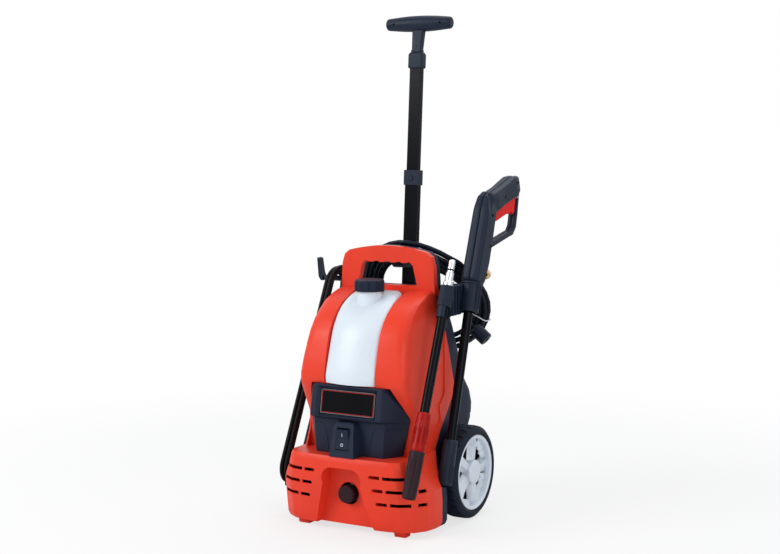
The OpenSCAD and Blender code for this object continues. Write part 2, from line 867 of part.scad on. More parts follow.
// The neck leans back from the collar to the bar
neck_foot = [0, pull_foot_y + (collar_z + collar_h - pull_foot_z) * tan(pull_lean), collar_z + collar_h];
bar_y = 70;
bar_z = 905;
module neck_form() {
    rise = bar_z - 12 - neck_foot[2];
    run = bar_y - neck_foot[1] - 2;
    loft([for (s = [[0, 11, 6.5], [0.08, 11, 6.5], [0.12, 10, 6], [1, 11.5, 7]])
        [for (p = plan(-s[2], s[1], 2.5, s[2], 2.5))
            [p[0], p[1] + neck_foot[1] + s[0] * run,
                neck_foot[2] + s[0] * rise - p[1] * tan(pull_lean) * (1 - s[0])]]]);
}
module pull_neck() {
    color(black) neck_form();
}
module bar_half(front) {
    color(black) difference() {
        translate([0, bar_y, bar_z]) rotate([0, 90, 0]) rotate_extrude() polygon(concat(
            [[0, -bar_len / 2]],
            [for (i = [0:3]) [bar_r * (0.45 + 0.3 * sin(i * 30)), -bar_len / 2 + 4 * (1 - cos(i * 30))]],
            [for (t = [-0.85:0.17:0.86]) [bar_r * (1 - 0.26 * t * t), t * (bar_len / 2 - 5)]],
            [for (i = [3:-1:0]) [bar_r * (0.45 + 0.3 * sin(i * 30)), bar_len / 2 - 4 * (1 - cos(i * 30))]],
            [[0, bar_len / 2]]
        ));
        neck_form();
        block([-through, front ? bar_y : -through, 0], [through, front ? through : bar_y, 2 * through * 2]);
        if (front)
            for (side = [-1, 1])
                translate([side * bar_len * 0.36, bar_y - bar_r, bar_z])
                    rotate([90, 0, 0]) cylinder(r = 2, h = 14, center = true, $fn = 16);
    }
}
module pull_bar_front() { bar_half(true); }
module pull_bar_rear() { bar_half(false); }

// ---------- swept cords ----------
function unit(v) = v / norm(v);
// Tangent at each point of a path
function tangents(p) = [for (i = [0:len(p) - 1])
    unit(p[min(i + 1, len(p) - 1)] - p[max(i - 1, 0)])];
function across_of(v, t) = unit(v - (v * t) * t);
// Cross direction carried along the path without twist
function carried(t, v0) = [
    for (i = 0, v = across_of(v0, t[0]); i < len(t); i = i + 1, v = across_of(v, t[min(i, len(t) - 1)])) v
];
module tube(path, d, sides, v0) {
    t = tangents(path);
    v = carried(t, v0);
    step = 360 / sides;
    loft([for (i = [0:len(path) - 1])
        let (w = cross(t[i], v[i]))
        [for (k = [0:sides - 1]) path[i] + d / 2 * (cos(k * step) * v[i] + sin(k * step) * w)]]);
}
// Smooth path through hand-placed points
function spline(p, steps) = concat([for (i = [0:len(p) - 2], k = [0:steps - 1])
    let (
        a = p[max(i - 1, 0)], b = p[i], c = p[i + 1], e = p[min(i + 2, len(p) - 1)],
        s = k / steps
    )
    0.5 * (2 * b + (c - a) * s + (2 * a - 5 * b + 4 * c - e) * s * s + (3 * b - a - 3 * c + e) * s * s * s)
], [p[len(p) - 1]]);
// Least distance between two stretches of a path more than some points apart
function least_gap(p, apart) = min([for (i = [0:len(p) - 1 - apart])
    min([for (j = [i + apart:len(p) - 1]) segment_gap(p, i, j)])]);
function segment_gap(p, i, j) =
    j + 1 < len(p) ? min(norm(p[i] - p[j]), norm(p[i] - (p[j] + p[j + 1]) / 2)) : norm(p[i] - p[j]);
function ease(x) = let (c = min(1, max(0, x))) c * c * (3 - 2 * c);

// The coil passes before the pull at its top and behind the housing at its foot
coil_fore = 6;
coil_sweep = 33;
coil_yaw = 30;
coil_spread = 20;
function coil_depth(a) =
    coil_fore + coil_sweep * (1 - sin(a)) + coil_yaw * pow(cos(a), 3) + coil_spread * pow(cos(a), 2);
function coil_point(turn) =
    let (
        a = coil_start + 360 * turn,
        inset = coil_pitch * min(turn, coil_turns - turn),
        layer = coil_layer * ease((turn - coil_turns / 2) * 2 + 0.5)
    )
    coil_mid + [(coil_half_w - inset) * cos(a) - coil_shear * sin(a), coil_depth(a) + layer,
        (coil_half_h - inset) * sin(a)];
coil_inner = [for (i = [0:coil_turns * coil_rings]) coil_point(i / coil_rings)];
coil_in = unit(coil_inner[1] - coil_inner[0]);
coil_out = unit(coil_inner[len(coil_inner) - 1] - coil_inner[len(coil_inner) - 2]);
coil_end = coil_inner[len(coil_inner) - 1];
// The pump end runs off the coil and bends back from it
end_r = 36;
coil_path = concat([coil_inner[0] - coil_in * hose_d], coil_inner,
    [for (t = [9:9:36]) coil_end + coil_out * t + [0, t * t / 2 / end_r, 0]]);
coil_first = coil_path[0];
coil_last = coil_path[len(coil_path) - 1];
echo(hose_gap = least_gap(coil_path, 12) - hose_d);
module hose_coil() {
    color(rubber) tube(coil_path, hose_d, 6, [0, 1, 0]);
}

// Free end of the hose: it leaves the coil in a slack S and ends at its coupling
coupling_at = [118.4, 68.7, 339.6];
coupling_dir = unit([0.77, 0.05, -0.64]);
tail_guides = [
    coil_first, coil_first - coil_in * 26.5, [132.2, 61.4, 420.7], coupling_at - coupling_dir * 62, coupling_at
];
function bezier(p, t) = len(p) == 1 ? p[0] :
    bezier([for (i = [0:len(p) - 2]) (1 - t) * p[i] + t * p[i + 1]], t);
module hose_tail() {
    color(rubber) tube([for (t = [0:0.05:1]) bezier(tail_guides, t)], hose_d, 8, [0, 1, 0]);
}
coupling_r = 13;
coupling_len = 32;
module coupling(at, dir) {
    yaw = atan2(dir[1], dir[0]);
    tilt = acos(dir[2]);
    translate(at) rotate([0, tilt, yaw]) {
        difference() {
            rotate_extrude() polygon([
                [0, 0], [coupling_r - 4, 0], [coupling_r - 1, 2], [coupling_r, 5],
                [coupling_r, coupling_len - 2], [coupling_r - 1.5, coupling_len], [0, coupling_len]
            ]);
            for (i = [0:9])
                rotate(i * 36) translate([coupling_r + 1, 0, 4])
                    cylinder(r = 2, h = coupling_len, $fn = 12);
            translate([0, 0, coupling_len - 10]) cylinder(r = 6, h = 12);
        }
    }
}
module hose_coupling() {
    color(black) coupling(coupling_at, coupling_dir);
}
module pump_end_coupling() {
    color(black) coupling(coil_last, unit(coil_out + [0, 1, 0]));
}
// Tie that gathers the strands of the coil at one place
tie_angle = -24;
tie_d = 2.2;
tie_low = 1.5;
tie_high = 37;
tie_fore = -6.4;
tie_back = 18;
function tie_point(inset, layer) = coil_mid + [
    (coil_half_w - inset) * cos(tie_angle) - coil_shear * sin(tie_angle), coil_depth(tie_angle) + layer,
    (coil_half_h - inset) * sin(tie_angle)
];
tie_path = [
    tie_point(tie_high - 15, tie_back), tie_point(tie_low + 3, tie_back), tie_point(tie_low, tie_back - 3),
    tie_point(tie_low, tie_fore + 3), tie_point(tie_low + 3, tie_fore), tie_point(tie_high - 3, tie_fore),
    tie_point(tie_high, tie_fore + 3), tie_point(tie_high, tie_back - 3), tie_point(tie_high - 3, tie_back),
    tie_point(tie_high - 14, tie_back)
];
module hose_tie() {
    color("white") tube(tie_path, tie_d, 8, [0, 0, 1]);
}

// ---------- mains cord ----------
hank_top = [-116, -38, 419];
hank_foot = [-158, -125, 92];
hank_turns = 4;
hank_pitch = 8;
hank_layer = 8.2;
hank_r = 37.5;
hank_rise = unit(hank_top - hank_foot);
hank_out = across_of([-1, 0, 0], hank_rise);
hank_side = cross(hank_out, hank_rise);
leg_steps = 4;
bend_steps = 8;
// One lap: up the rear leg, over the top, down the front leg, round the foot
function lap_point(k, r) =
    k < leg_steps ? hank_foot + (hank_top - hank_foot) * k / leg_steps + hank_side * r :
    k < leg_steps + bend_steps ?
        let (a = (k - leg_steps) * 180 / bend_steps) hank_top + r * (cos(a) * hank_side + sin(a) * hank_rise) :
    k < 2 * leg_steps + bend_steps ?
        hank_top + (hank_foot - hank_top) * (k - leg_steps - bend_steps) / leg_steps - hank_side * r :
        let (a = 180 + (k - 2 * leg_steps - bend_steps) * 180 / bend_steps)
        hank_foot + r * (cos(a) * hank_side + sin(a) * hank_rise);
lap = 2 * (leg_steps + bend_steps);
hank_from = 2;
function hank_at(n) =
    let (
        turn = n / lap,
        r = hank_r - hank_pitch * min(turn, hank_turns - turn),
        layer = hank_layer * (ease((turn - hank_turns / 2) * 4 + 0.5) - 0.5)
    )
    lap_point((n + hank_from) % lap, r) + hank_out * layer;
hank_path = [for (n = [0:hank_turns * lap]) hank_at(n)];
hank_first = hank_path[0];
hank_last = hank_path[len(hank_path) - 1];
echo(cord_gap = least_gap(hank_path, 12) - cord_d);
module cord_hank() {
    color(rubber) tube(hank_path, cord_d, 6, hank_out);
}
// From the gland round the back corner, over the wheel and up to the hank
lead_start = [gland_x, back_at(gland_z) + 30, gland_z];
lead_points = [
    lead_start, lead_start + [0, 10, 0], [-82, 122, 122], [-112, 124, 158], [-134, 96, 190], [-138, 48, 201],
    [-138, -4, 210], hank_first - hank_rise * 40 + [0, 14, 0], hank_first - hank_rise * 12, hank_first
];
module mains_lead() {
    color(rubber) tube(spline(lead_points, 4), cord_d, 8, [0, 0, 1]);
}
// The plug's lead goes on up beside the hank, turns over in one wide loop and hangs
loop_r = 35;
loop_rise = 79;
loop_from = atan2(hank_rise[2], hank_rise[1]);
loop_points = [for (i = [0:7])
    let (h = loop_from - (loop_from + 90) * i / 7)
    hank_last + hank_rise * loop_rise + [-0.6 * i, loop_r * (sin(loop_from) - sin(h)), loop_r * (cos(h) - cos(loop_from))]];
plug_at = loop_points[7] - [0, 0, 9];
plug_points = concat([for (t = [0:20:60]) hank_last + hank_rise * t], loop_points, [plug_at]);
module plug_lead() {
    color(rubber) tube(spline(plug_points, 4), cord_d, 8, [1, 0, 0]);
}
plug_boot = 34;
plug_len = 36;
plug_r = 18;
module mains_plug() {
    color(black) translate(plug_at) mirror([0, 0, 1]) {
        cylinder(r1 = cord_d / 2 + 0.6, r2 = 7, h = plug_boot);
        translate([0, 0, plug_boot]) rotate_extrude() polygon([
            [0, 0], [8, 0], [plug_r - 3, 7], [plug_r, 12], [plug_r, plug_len - 2],
            [plug_r - 2, plug_len], [0, plug_len]
        ]);
        for (side = [-1, 1])
            translate([0, side * 9.5, plug_boot + plug_len])
                cylinder(r = 2.4, h = 19, $fn = 24);
    }
}
module cord_gland() {
    color(black) translate([gland_x, 0, gland_z]) rotate([-90, 0, 0]) difference() {
        union() {
            translate([0, 0, back_at(gland_z) - 14])
                cylinder(r = gland_r - 0.1, h = 16);
            translate([0, 0, back_at(gland_z + gland_r + 3) + 0.05])
                cylinder(r = gland_r + 3, h = 3);
            translate([0, 0, back_at(gland_z) + 2])
                cylinder(r1 = gland_r - 1, r2 = cord_d / 2 + 1, h = 28);
        }
        for (i = [0:3])
            translate([0, 0, back_at(gland_z) + 8 + i * 5])
                rotate(i * 90) translate([3.6, -15, 0]) cube([20, 30, 1.6]);
    }
}
hook_w = 14;
// Top hook: it turns on a pin in the handle's leg, shank under the loops, tongue turned up
shank_r = 5;
shank_z = hank_top[2] + hank_r - hank_pitch * hank_turns / 2 - cord_d / 2 - seat - shank_r;
shank_end = -148;
hook_seat_x = -98.2;
pin_r = 3;
pin_in = 10;
module hook_bore() {
    translate([hook_seat_x - 2, hank_top[1], shank_z])
        rotate([0, 90, 0]) cylinder(r = pin_r + 0.06, h = pin_in + 3);
}
module upper_cord_hook() {
    color(black) {
        translate([shank_end, hank_top[1], shank_z]) rotate([0, 90, 0]) {
            cylinder(r = shank_r, h = hook_seat_x - shank_end);
            translate([0, 0, hook_seat_x - shank_end - 3]) cylinder(r = 8.5, h = 3);
            cylinder(r = pin_r, h = hook_seat_x - shank_end + pin_in);
        }
        translate([0, hank_top[1] + hook_w / 2, shank_z])
            rotate([90, 0, 0]) linear_extrude(hook_w) polygon([
                [shank_end + 4, -shank_r], [shank_end + 4, 3], [shank_end + 1, 10], [shank_end - 3, 36],
                [shank_end - 7, 38], [shank_end - 8, 36], [shank_end - 5, 2], [shank_end, -shank_r]
            ]);
    }
}
// Lower hook: shank inside the foot of the loops, tongue turned down
function flank_at(z) = lookup(z, [for (s = base_stations) [s[0], s[2]]]) + 0.02;
lower_shank_z = hank_foot[2] - (hank_r - hank_pitch * hank_turns / 2 - cord_d / 2 - seat);
module lower_cord_hook() {
    color(black) translate([0, hank_foot[1] + hook_w / 2, 0])
        rotate([90, 0, 0]) linear_extrude(hook_w) polygon([
            [-flank_at(lower_shank_z + 10), lower_shank_z + 10], [-flank_at(82), 82],
            [-flank_at(lower_shank_z), lower_shank_z], [-168.4, lower_shank_z],
            [-171.5, lower_shank_z - 26], [-174.8, lower_shank_z - 26], [-174.2, lower_shank_z + 2],
            [-170, lower_shank_z + 8]
        ]);
}

// ---------- lances and gun ----------
gun_x = 146.5;
gun_y = -13.2;
gun_z = 388;
gun_lean = 16.7;
// Local +Z runs up the gun's barrel, +Y towards its grip
module on_gun() {
    translate([gun_x, gun_y, gun_z]) rotate([-gun_lean, 0, 0]) children();
}
ring_inner = nozzle_r + ring_play;
ring_wall = 4.5;
ring_foot = -7;
ring_top = 47;
nut_r = 13;
nut_h = 40;
barrel_foot = ring_top + seat;
nut_foot = barrel_foot - seat - nut_h;
spare_top = nut_foot + 30;
sleeve_top = -239;
sleeve_foot = -320;
module spare_tube() {
    color(black) on_gun() translate([0, 0, sleeve_top - 30]) difference() {
        cylinder(r = lance_r, h = spare_top - sleeve_top + 30);
        translate([0, 0, -1]) cylinder(r = 4, h = 400);
    }
}
module spare_sleeve() {
    color(black) on_gun() difference() {
        translate([0, 0, sleeve_foot]) rotate_extrude() polygon([
            [0, 0], [nozzle_r - 2, 0], [nozzle_r, 2], [nozzle_r, sleeve_top - sleeve_foot - 3],
            [nozzle_r - 2, sleeve_top - sleeve_foot], [0, sleeve_top - sleeve_foot]
        ]);
        translate([0, 0, sleeve_top - 30.05]) cylinder(r = lance_r, h = 60);
        translate([0, 0, sleeve_foot - 1]) cylinder(r = 8, h = 20);
        for (a = [0:90:270])
            rotate(a + 45)
                translate([nozzle_r - 1.6, -2, sleeve_foot + 12]) cube([4, 4, 44]);
    }
}
// Fluted nut that joins the lance to the gun
module gun_nut() {
    color(black) on_gun() translate([0, 0, nut_foot]) difference() {
        rotate_extrude() polygon([
            [0, 0], [nut_r - 2, 0], [nut_r, 2], [nut_r, nut_h - 2], [nut_r - 2, nut_h], [0, nut_h]
        ]);
        for (i = [0:11])
            rotate(i * 30)
                translate([nut_r + 1.2, 0, 3]) cylinder(r = 2, h = nut_h, $fn = 16);
        translate([0, 0, -1]) cylinder(r = lance_r, h = 60);
    }
}
// Stations of the barrel: height, half thickness, front, back
barrel_stations = [
    [0, 0.9, -15, 22], [6, 1, -17, 24], [40, 1, -14, 32], [80, 1, -11, 34], [110, 1, -9, 34],
    [137, 0.95, -8, 36], [160, 0.8, -3, 38], [172, 0.5, 6, 36]
];
module barrel_form(grow) {
    translate([0, 0, barrel_foot]) loft([for (s = barrel_stations)
        lift(plan(s[2] - grow, gun_half * s[1] + grow, 7 * s[1], s[3] + grow, 9 * s[1]), s[0])]);
}
grip_root = [18, 196];
grip_end = [120, 264];
grip_turn = atan2(grip_end[1] - grip_root[1], grip_end[0] - grip_root[0]);
grip_len = norm(grip_end - grip_root);
// Stations of the grip: length, half thickness, half depth
grip_stations = [
    [-14, 0.55, 13], [-4, 0.85, 18], [20, 0.95, 19], [50, 0.9, 18], [85, 0.95, 19], [105, 0.95, 20],
    [120, 0.8, 17], [128, 0.5, 11]
];
module grip_form() {
    translate([0, grip_root[0], grip_root[1]])
        rotate([grip_turn - 90, 0, 0]) loft([for (s = grip_stations)
            lift(plan(-s[2], gun_half * s[1], 7 * s[1], s[2], 7 * s[1]), s[0])]);
}
valve_r = 5.8;
inlet_pipe_r = 8.8;
guard_half = 8.3;
guard_w = 10;
module guard_form() {
    path = [[128, 256], [133, 208], [134, 184], [126, 170], [110, 162], [28, 118]];
    across(guard_half)
        for (i = [0:len(path) - 2])
            bar2d(path[i], path[i + 1], guard_w);
}
trigger_pivot = [116, 237];
module trigger_outline() {
    polygon([
        [121, 244], [108, 244], [60, 216], [42, 204], [44, 176], [52, 174], [92, 198], [112, 208], [120, 204],
        [124, 210], [122, 230]
    ]);
}
module gun_form() {
    difference() {
        union() {
            barrel_form(0);
            grip_form();
            guard_form();
        }
        // slot the trigger swings in
        across(trigger_half + 0.4) polygon([
            [128, 250], [104, 250], [50, 229], [34, 222], [34, 158], [48, 166], [92, 190], [127.6, 198]
        ]);
        // bores for the valve and its inlet
        translate([0, 4, 61.9]) cylinder(r = valve_r + 0.06, h = 110.2);
        translate([0, 8.9, 73]) rotate([-90, 0, 0]) cylinder(r = inlet_pipe_r + 0.06, h = 60);
        // thumb scoop at the crown
        translate([gun_half + 6, 2, 196])
            rotate([0, -14, 0]) cylinder(r = 11, h = 40, center = true);
    }
}
parting = 0.05;
module gun_half_cut(left) {
    color(black) on_gun() difference() {
        gun_form();
        block([left ? -parting : -through, -through, -through],
            [left ? through : parting, through, through * 2]);
        translate([0, trigger_pivot[0], trigger_pivot[1]])
            rotate([0, 90, 0]) cylinder(r = 2.5, h = 60, center = true);
    }
}
module gun_left_shell() { gun_half_cut(true); }
module gun_right_shell() { gun_half_cut(false); }
module gun_trigger() {
    color([0.86, 0.12, 0.1]) on_gun() difference() {
        across(trigger_half) trigger_outline();
        translate([0, trigger_pivot[0], trigger_pivot[1]])
            rotate([0, 90, 0]) cylinder(r = 2.55, h = 60, center = true);
    }
}
module trigger_pin() {
    color(steel) on_gun() translate([0, trigger_pivot[0], trigger_pivot[1]])
        rotate([0, 90, 0]) cylinder(r = 2.5, h = 2 * gun_half - 6, center = true);
}
module gun_valve() {
    color(brass) on_gun() {
        translate([0, 4, 62]) cylinder(r = valve_r, h = 110);
        translate([0, 9, 73]) rotate([-90, 0, 0]) difference() {
            union() {
                cylinder(r = inlet_pipe_r, h = 46);
                translate([0, 0, 36]) cylinder(r = 10, h = 6, $fn = 6);
            }
            translate([0, 0, 20]) cylinder(r = 4, h = 40);
        }
    }
}

// Spare lance, held in front of the gun
lance_x = 138.8;
lance_y = -95.4;
lance_z = 398;
lance_lean = 22.2;
module on_lance() {
    translate([lance_x, lance_y, lance_z]) rotate([-lance_lean, 0, 0]) children();
}
lance_ring_z = -197;
nozzle_joint = -259;
nozzle_foot = -341;
lance_collar_h = 38;
module lance_tube() {
    color(black) on_lance() translate([0, 0, lance_ring_z - 20]) difference() {
        cylinder(r = lance_r, h = 20 - lance_ring_z + 30);
        translate([0, 0, -1]) cylinder(r = 4, h = 400);
    }
}
module lance_collar() {
    color(black) on_lance() difference() {
        rotate_extrude() polygon([
            [0, 0], [12, 0], [13, 1.5], [12.5, lance_collar_h - 1], [11.5, lance_collar_h],
            [0, lance_collar_h]
        ]);
        translate([0, 0, -1]) cylinder(r = lance_r, h = 31);
        cylinder(r = 5.5, h = 60);
        for (i = [0:7])
            rotate(i * 45) translate([14.2, 0, 4]) cylinder(r = 2.4, h = 60, $fn = 16);
    }
}
// Bayonet end: stepped metal spigot with two lugs and a groove
tip_groove = 28;
module lance_tip() {
    color(silver) on_lance() translate([0, 0, lance_collar_h]) difference() {
        union() {
            translate([0, 0, -6]) cylinder(r = 5.5, h = 10);
            rotate_extrude() polygon([
                [0, 0], [9.5, 0], [9.5, 6], [7.5, 9], [7.5, 24], [6.2, 25], [6.2, tip_groove],
                [4.6, tip_groove], [4.6, tip_groove + 3], [6.2, tip_groove + 3], [6.2, 46],
                [5, 48], [0, 48]
            ]);
            translate([0, 0, 9])
                rotate([0, 90, 0]) cylinder(r = 2.4, h = 20, center = true);
        }
        translate([0, 0, -10]) cylinder(r = 2.5, h = 70);
    }
}
module lance_o_ring() {
    color(rubber) on_lance() translate([0, 0, lance_collar_h + tip_groove + 1.5])
        rotate_extrude() translate([5.8, 0]) circle(r = 1.2, $fn = 20);
}
module nozzle_ring() {
    color([0.75, 0.18, 0.15]) on_lance() difference() {
        translate([0, 0, nozzle_joint + 0.2]) rotate_extrude() polygon([
            [0, 0], [nozzle_r, 0], [nozzle_r + 0.6, 3], [nozzle_r, 40], [nozzle_r - 1, 66],
            [nozzle_r - 2.5, 68], [nozzle_r - 3, lance_ring_z - nozzle_joint], [0, lance_ring_z - nozzle_joint]
        ]);
        translate([0, 0, lance_ring_z - 20.05]) cylinder(r = lance_r, h = 60);
        translate([0, 0, nozzle_joint - 1]) cylinder(r = 8.08, h = 24);
        for (i = [0:9])
            rotate(i * 36) translate([nozzle_r + 1.4, 0, nozzle_joint + 14])
                cylinder(r = 2.2, h = 46, $fn = 12);
    }
}
module nozzle() {
    color([0.2, 0.16, 0.18]) on_lance() difference() {
        union() {
            translate([0, 0, nozzle_foot]) rotate_extrude() polygon([
                [0, 0], [nozzle_r - 3, 0], [nozzle_r - 1, 2], [nozzle_r, 30],
                [nozzle_r + 0.6, nozzle_joint - nozzle_foot - 4],
                [nozzle_r + 0.4, nozzle_joint - nozzle_foot], [0, nozzle_joint - nozzle_foot]
            ]);
            translate([0, 0, nozzle_joint - eps]) cylinder(r = 8, h = 20);
        }
        translate([0, 0, nozzle_foot - 1]) cylinder(r = 7, h = 16);
        translate([0, 0, nozzle_foot - 1]) cylinder(r = 2, h = 200);
        for (i = [0:9])
            rotate(i * 36 + 18) translate([nozzle_r + 1.6, 0, nozzle_foot + 8])
                cylinder(r = 2.4, h = 58, $fn = 12);
    }
}

// Holder on the right flank: a deep cup for the gun's nut and an open cradle for the spare lance
cradle_r = lance_r + seat;
pad_z = [352, 370, 385, 400, 409];
arm_foot = 378;
arm_h = 52;
function side_at(z) = lookup(z, [for (s = body_stations) [s[0], s[2]]]) + 0.02;
module lance_holder() {
    color(black) difference() {
        union() {
            // pad against the housing
            translate([0, -26, 0]) rotate([90, 0, 0]) linear_extrude(18)
                polygon(concat([for (z = pad_z) [side_at(z), z]], [[112, 409], [112, 352]]));
            // cup
            on_gun() translate([0, 0, ring_foot])
                cylinder(r = ring_inner + ring_wall, h = ring_top - ring_foot);
            // ribbed arm
            translate([0, 0, arm_foot]) linear_extrude(arm_h) {
                polygon([[119, -66], [137, -66], [137, -4], [103, -4], [103, -40]]);
                for (y = [-62:11:-29])
                    translate([136, y]) square([3, 4]);
            }
            // link and cradle
            block([122, -92, arm_foot - 2], [134, -60, arm_foot + 10]);
            on_lance() translate([0, 0, -20]) cylinder(r = cradle_r + 3, h = 20 - seat);
        }
        on_gun() cylinder(r = ring_inner, h = through, center = true);
        on_lance() translate([0, 0, -60]) {
            cylinder(r = cradle_r, h = 100);
            translate([0, -cradle_r, 0]) cube([40, 2 * cradle_r, 100]);
        }
    }
}

// ---------- motor and pump ----------
pump_front = -132;
module pump_body() {
    color(steel) difference() {
        translate([0, pump_y, pump_foot]) cylinder(r = 40, h = 84);
        translate([0, pump_y, pump_foot + 60]) cylinder(r = 32, h = 40);
        translate([0, pump_y, can_foot - 32]) cylinder(r = shaft_r + 0.06, h = 60);
        block([-60, -300, pump_foot - 1], [60, -104, can_foot + 1]);
    }
}
module pump_head() {
    color(steel) difference() {
        block([-34, pump_front, 40], [34, -104, 96]);
        for (x = [-26, 26], z = [47, 89])
            translate([x, pump_front + 6, z])
                rotate([90, 0, 0]) cylinder(r = 4, h = 20, $fn = 24);
    }
}
can_foot = 108;
can_h = 116;
module motor_can() {
    color(black) translate([0, pump_y, can_foot]) difference() {
        cylinder(r = can_r, h = can_h);
        translate([0, 0, 4]) cylinder(r = can_r - 3, h = can_h - 8);
        translate([0, 0, -1]) cylinder(r = shaft_r + 0.06, h = can_h + 2);
    }
}
module motor_stator() {
    color(steel) translate([0, pump_y, can_foot + 20]) difference() {
        cylinder(r = can_r - 3, h = 64);
        translate([0, 0, -1]) cylinder(r = rotor_r + air_gap, h = 66);
    }
}
rotor_r = 26;
module motor_rotor() {
    color(steel) translate([0, pump_y, 0]) {
        translate([0, 0, can_foot - 30]) cylinder(r = shaft_r, h = can_h + 46);
        translate([0, 0, can_foot + 20]) cylinder(r = rotor_r, h = 64);
        translate([0, 0, can_foot + 88]) cylinder(r = 15, h = 14);
    }
}
blades = 9;
module cooling_fan() {
    color(black) translate([0, pump_y, can_foot + can_h + 2]) difference() {
        union() {
            cylinder(r = 10, h = 12);
            cylinder(r = can_r - 4, h = 2);
            for (i = [0:blades - 1])
                rotate(i * 360 / blades)
                    translate([8, -0.8, 1]) cube([can_r - 13, 1.6, 11]);
        }
        translate([0, 0, -1]) cylinder(r = shaft_r, h = 20);
    }
}

front_shell();
rear_shell();
front_feet();
detergent_tank();
tank_cap();
control_bezel();
nameplate();
rocker_frame();
rocker();
outlet_fitting();
outlet_cap();
inlet_fitting();
axle();
wheel_left();
wheel_right();
tyre_left();
tyre_right();
hub_cap_left();
hub_cap_right();
lower_tube();
tube_head();
tube_latch();
upper_tube();
tube_collar();
pull_neck();
pull_bar_front();
pull_bar_rear();
upper_cord_hook();
lower_cord_hook();
cord_gland();
mains_lead();
cord_hank();
plug_lead();
mains_plug();
hose_coil();
hose_tail();
hose_coupling();
pump_end_coupling();
hose_tie();
lance_holder();
gun_left_shell();
gun_right_shell();
gun_trigger();
trigger_pin();
gun_valve();
gun_nut();
spare_tube();
spare_sleeve();
lance_tip();
lance_o_ring();
lance_collar();
lance_tube();
nozzle_ring();
nozzle();
pump_body();
pump_head();
motor_can();
motor_stator();
motor_rotor();
cooling_fan();
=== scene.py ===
import json
import math

import bmesh
import bpy
from mathutils import Matrix, Vector
from mathutils.bvhtree import BVHTree
from mathutils.kdtree import KDTree


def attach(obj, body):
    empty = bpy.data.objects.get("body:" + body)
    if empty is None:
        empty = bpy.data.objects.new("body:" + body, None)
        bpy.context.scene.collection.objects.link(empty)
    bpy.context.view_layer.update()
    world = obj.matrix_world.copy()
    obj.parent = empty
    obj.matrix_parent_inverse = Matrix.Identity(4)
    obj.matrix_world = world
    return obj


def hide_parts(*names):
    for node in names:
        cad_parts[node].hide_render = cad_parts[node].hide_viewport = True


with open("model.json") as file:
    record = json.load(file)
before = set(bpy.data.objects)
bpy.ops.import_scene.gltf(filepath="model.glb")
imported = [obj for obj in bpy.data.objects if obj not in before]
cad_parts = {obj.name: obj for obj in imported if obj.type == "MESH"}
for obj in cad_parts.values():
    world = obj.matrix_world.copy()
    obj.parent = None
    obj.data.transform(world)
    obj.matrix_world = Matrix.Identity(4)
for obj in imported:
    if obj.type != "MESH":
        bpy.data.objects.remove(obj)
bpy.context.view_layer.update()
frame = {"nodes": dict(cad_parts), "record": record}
record = frame["record"]
bodyOfNode = {n: b for b, group in record["behaviour"]["bodies"].items() for n in group}
finishOfNode = {s["node"]: s["material_slot"] for s in record["subparts"]}
cadNode = frame["nodes"]
mm = 0.001

# camera
cameraView = {
    "place": (1.2860, -2.3182, 0.6973),
    "turn": (84.37, 0.0, 29.47),
    "lens": 66.2,
    "sensor": 36,
}
camera = bpy.data.objects.new("washerCamera", bpy.data.cameras.new("washerCamera"))
bpy.context.scene.collection.objects.link(camera)
camera.location = cameraView["place"]
camera.rotation_euler = [math.radians(a) for a in cameraView["turn"]]
camera.data.lens = cameraView["lens"]
camera.data.sensor_width = cameraView["sensor"]
bpy.context.scene.camera = camera


# widths of one patch of each pattern, in metres
patch = {
    "flow": 0.06, "cloud": 0.045, "lacquer": 0.03, "dust": 0.02,
    "pebble": 0.0016, "streak": 0.0012, "flake": 0.0008,
}
fieldMiddle = (0.3, 0.7)  # most values of a noise field lie between these


def newFinish(name):
    finish = bpy.data.materials.new(name)
    finish.use_nodes = True
    nodes, links = finish.node_tree.nodes, finish.node_tree.links
    nodes.clear()
    out = nodes.new("ShaderNodeOutputMaterial")
    shader = nodes.new("ShaderNodeBsdfPrincipled")
    links.new(shader.outputs["BSDF"], out.inputs["Surface"])
    return finish, nodes, links, shader


def noiseField(nodes, links, size, detail=2.0, stretch=None):
    place = nodes.new("ShaderNodeTexCoord")
    field = nodes.new("ShaderNodeTexNoise")
    field.inputs["Scale"].default_value = 1 / size
    field.inputs["Detail"].default_value = detail
    if stretch:
        mapping = nodes.new("ShaderNodeMapping")
        mapping.inputs["Scale"].default_value = stretch
        links.new(place.outputs["Object"], mapping.inputs["Vector"])
        links.new(mapping.outputs["Vector"], field.inputs["Vector"])
    else:
        links.new(place.outputs["Object"], field.inputs["Vector"])
    return field.outputs["Fac"]


def tintBetween(nodes, links, fac, dark, light, low=0.35, high=0.65):
    ramp = nodes.new("ShaderNodeValToRGB")
    ramp.color_ramp.elements[0].position = low
    ramp.color_ramp.elements[1].position = high
    ramp.color_ramp.elements[0].color = (*dark, 1)
    ramp.color_ramp.elements[1].color = (*light, 1)
    links.new(fac, ramp.inputs["Fac"])
    return ramp.outputs["Color"]


# a noise field as values between low and high
def spread(nodes, links, fac, low, high):
    span = nodes.new("ShaderNodeMapRange")
    span.inputs["From Min"].default_value, span.inputs["From Max"].default_value = fieldMiddle
    span.inputs["To Min"].default_value = low
    span.inputs["To Max"].default_value = high
    links.new(fac, span.inputs["Value"])
    return span.outputs["Result"]


def grain(nodes, links, shader, field, depth, strength=1.0):
    bump = nodes.new("ShaderNodeBump")
    bump.inputs["Strength"].default_value = strength
    bump.inputs["Distance"].default_value = depth
    links.new(field, bump.inputs["Height"])
    links.new(bump.outputs["Normal"], shader.inputs["Normal"])


def shade(colour, k):
    return tuple(min(1.0, c * k) for c in colour)


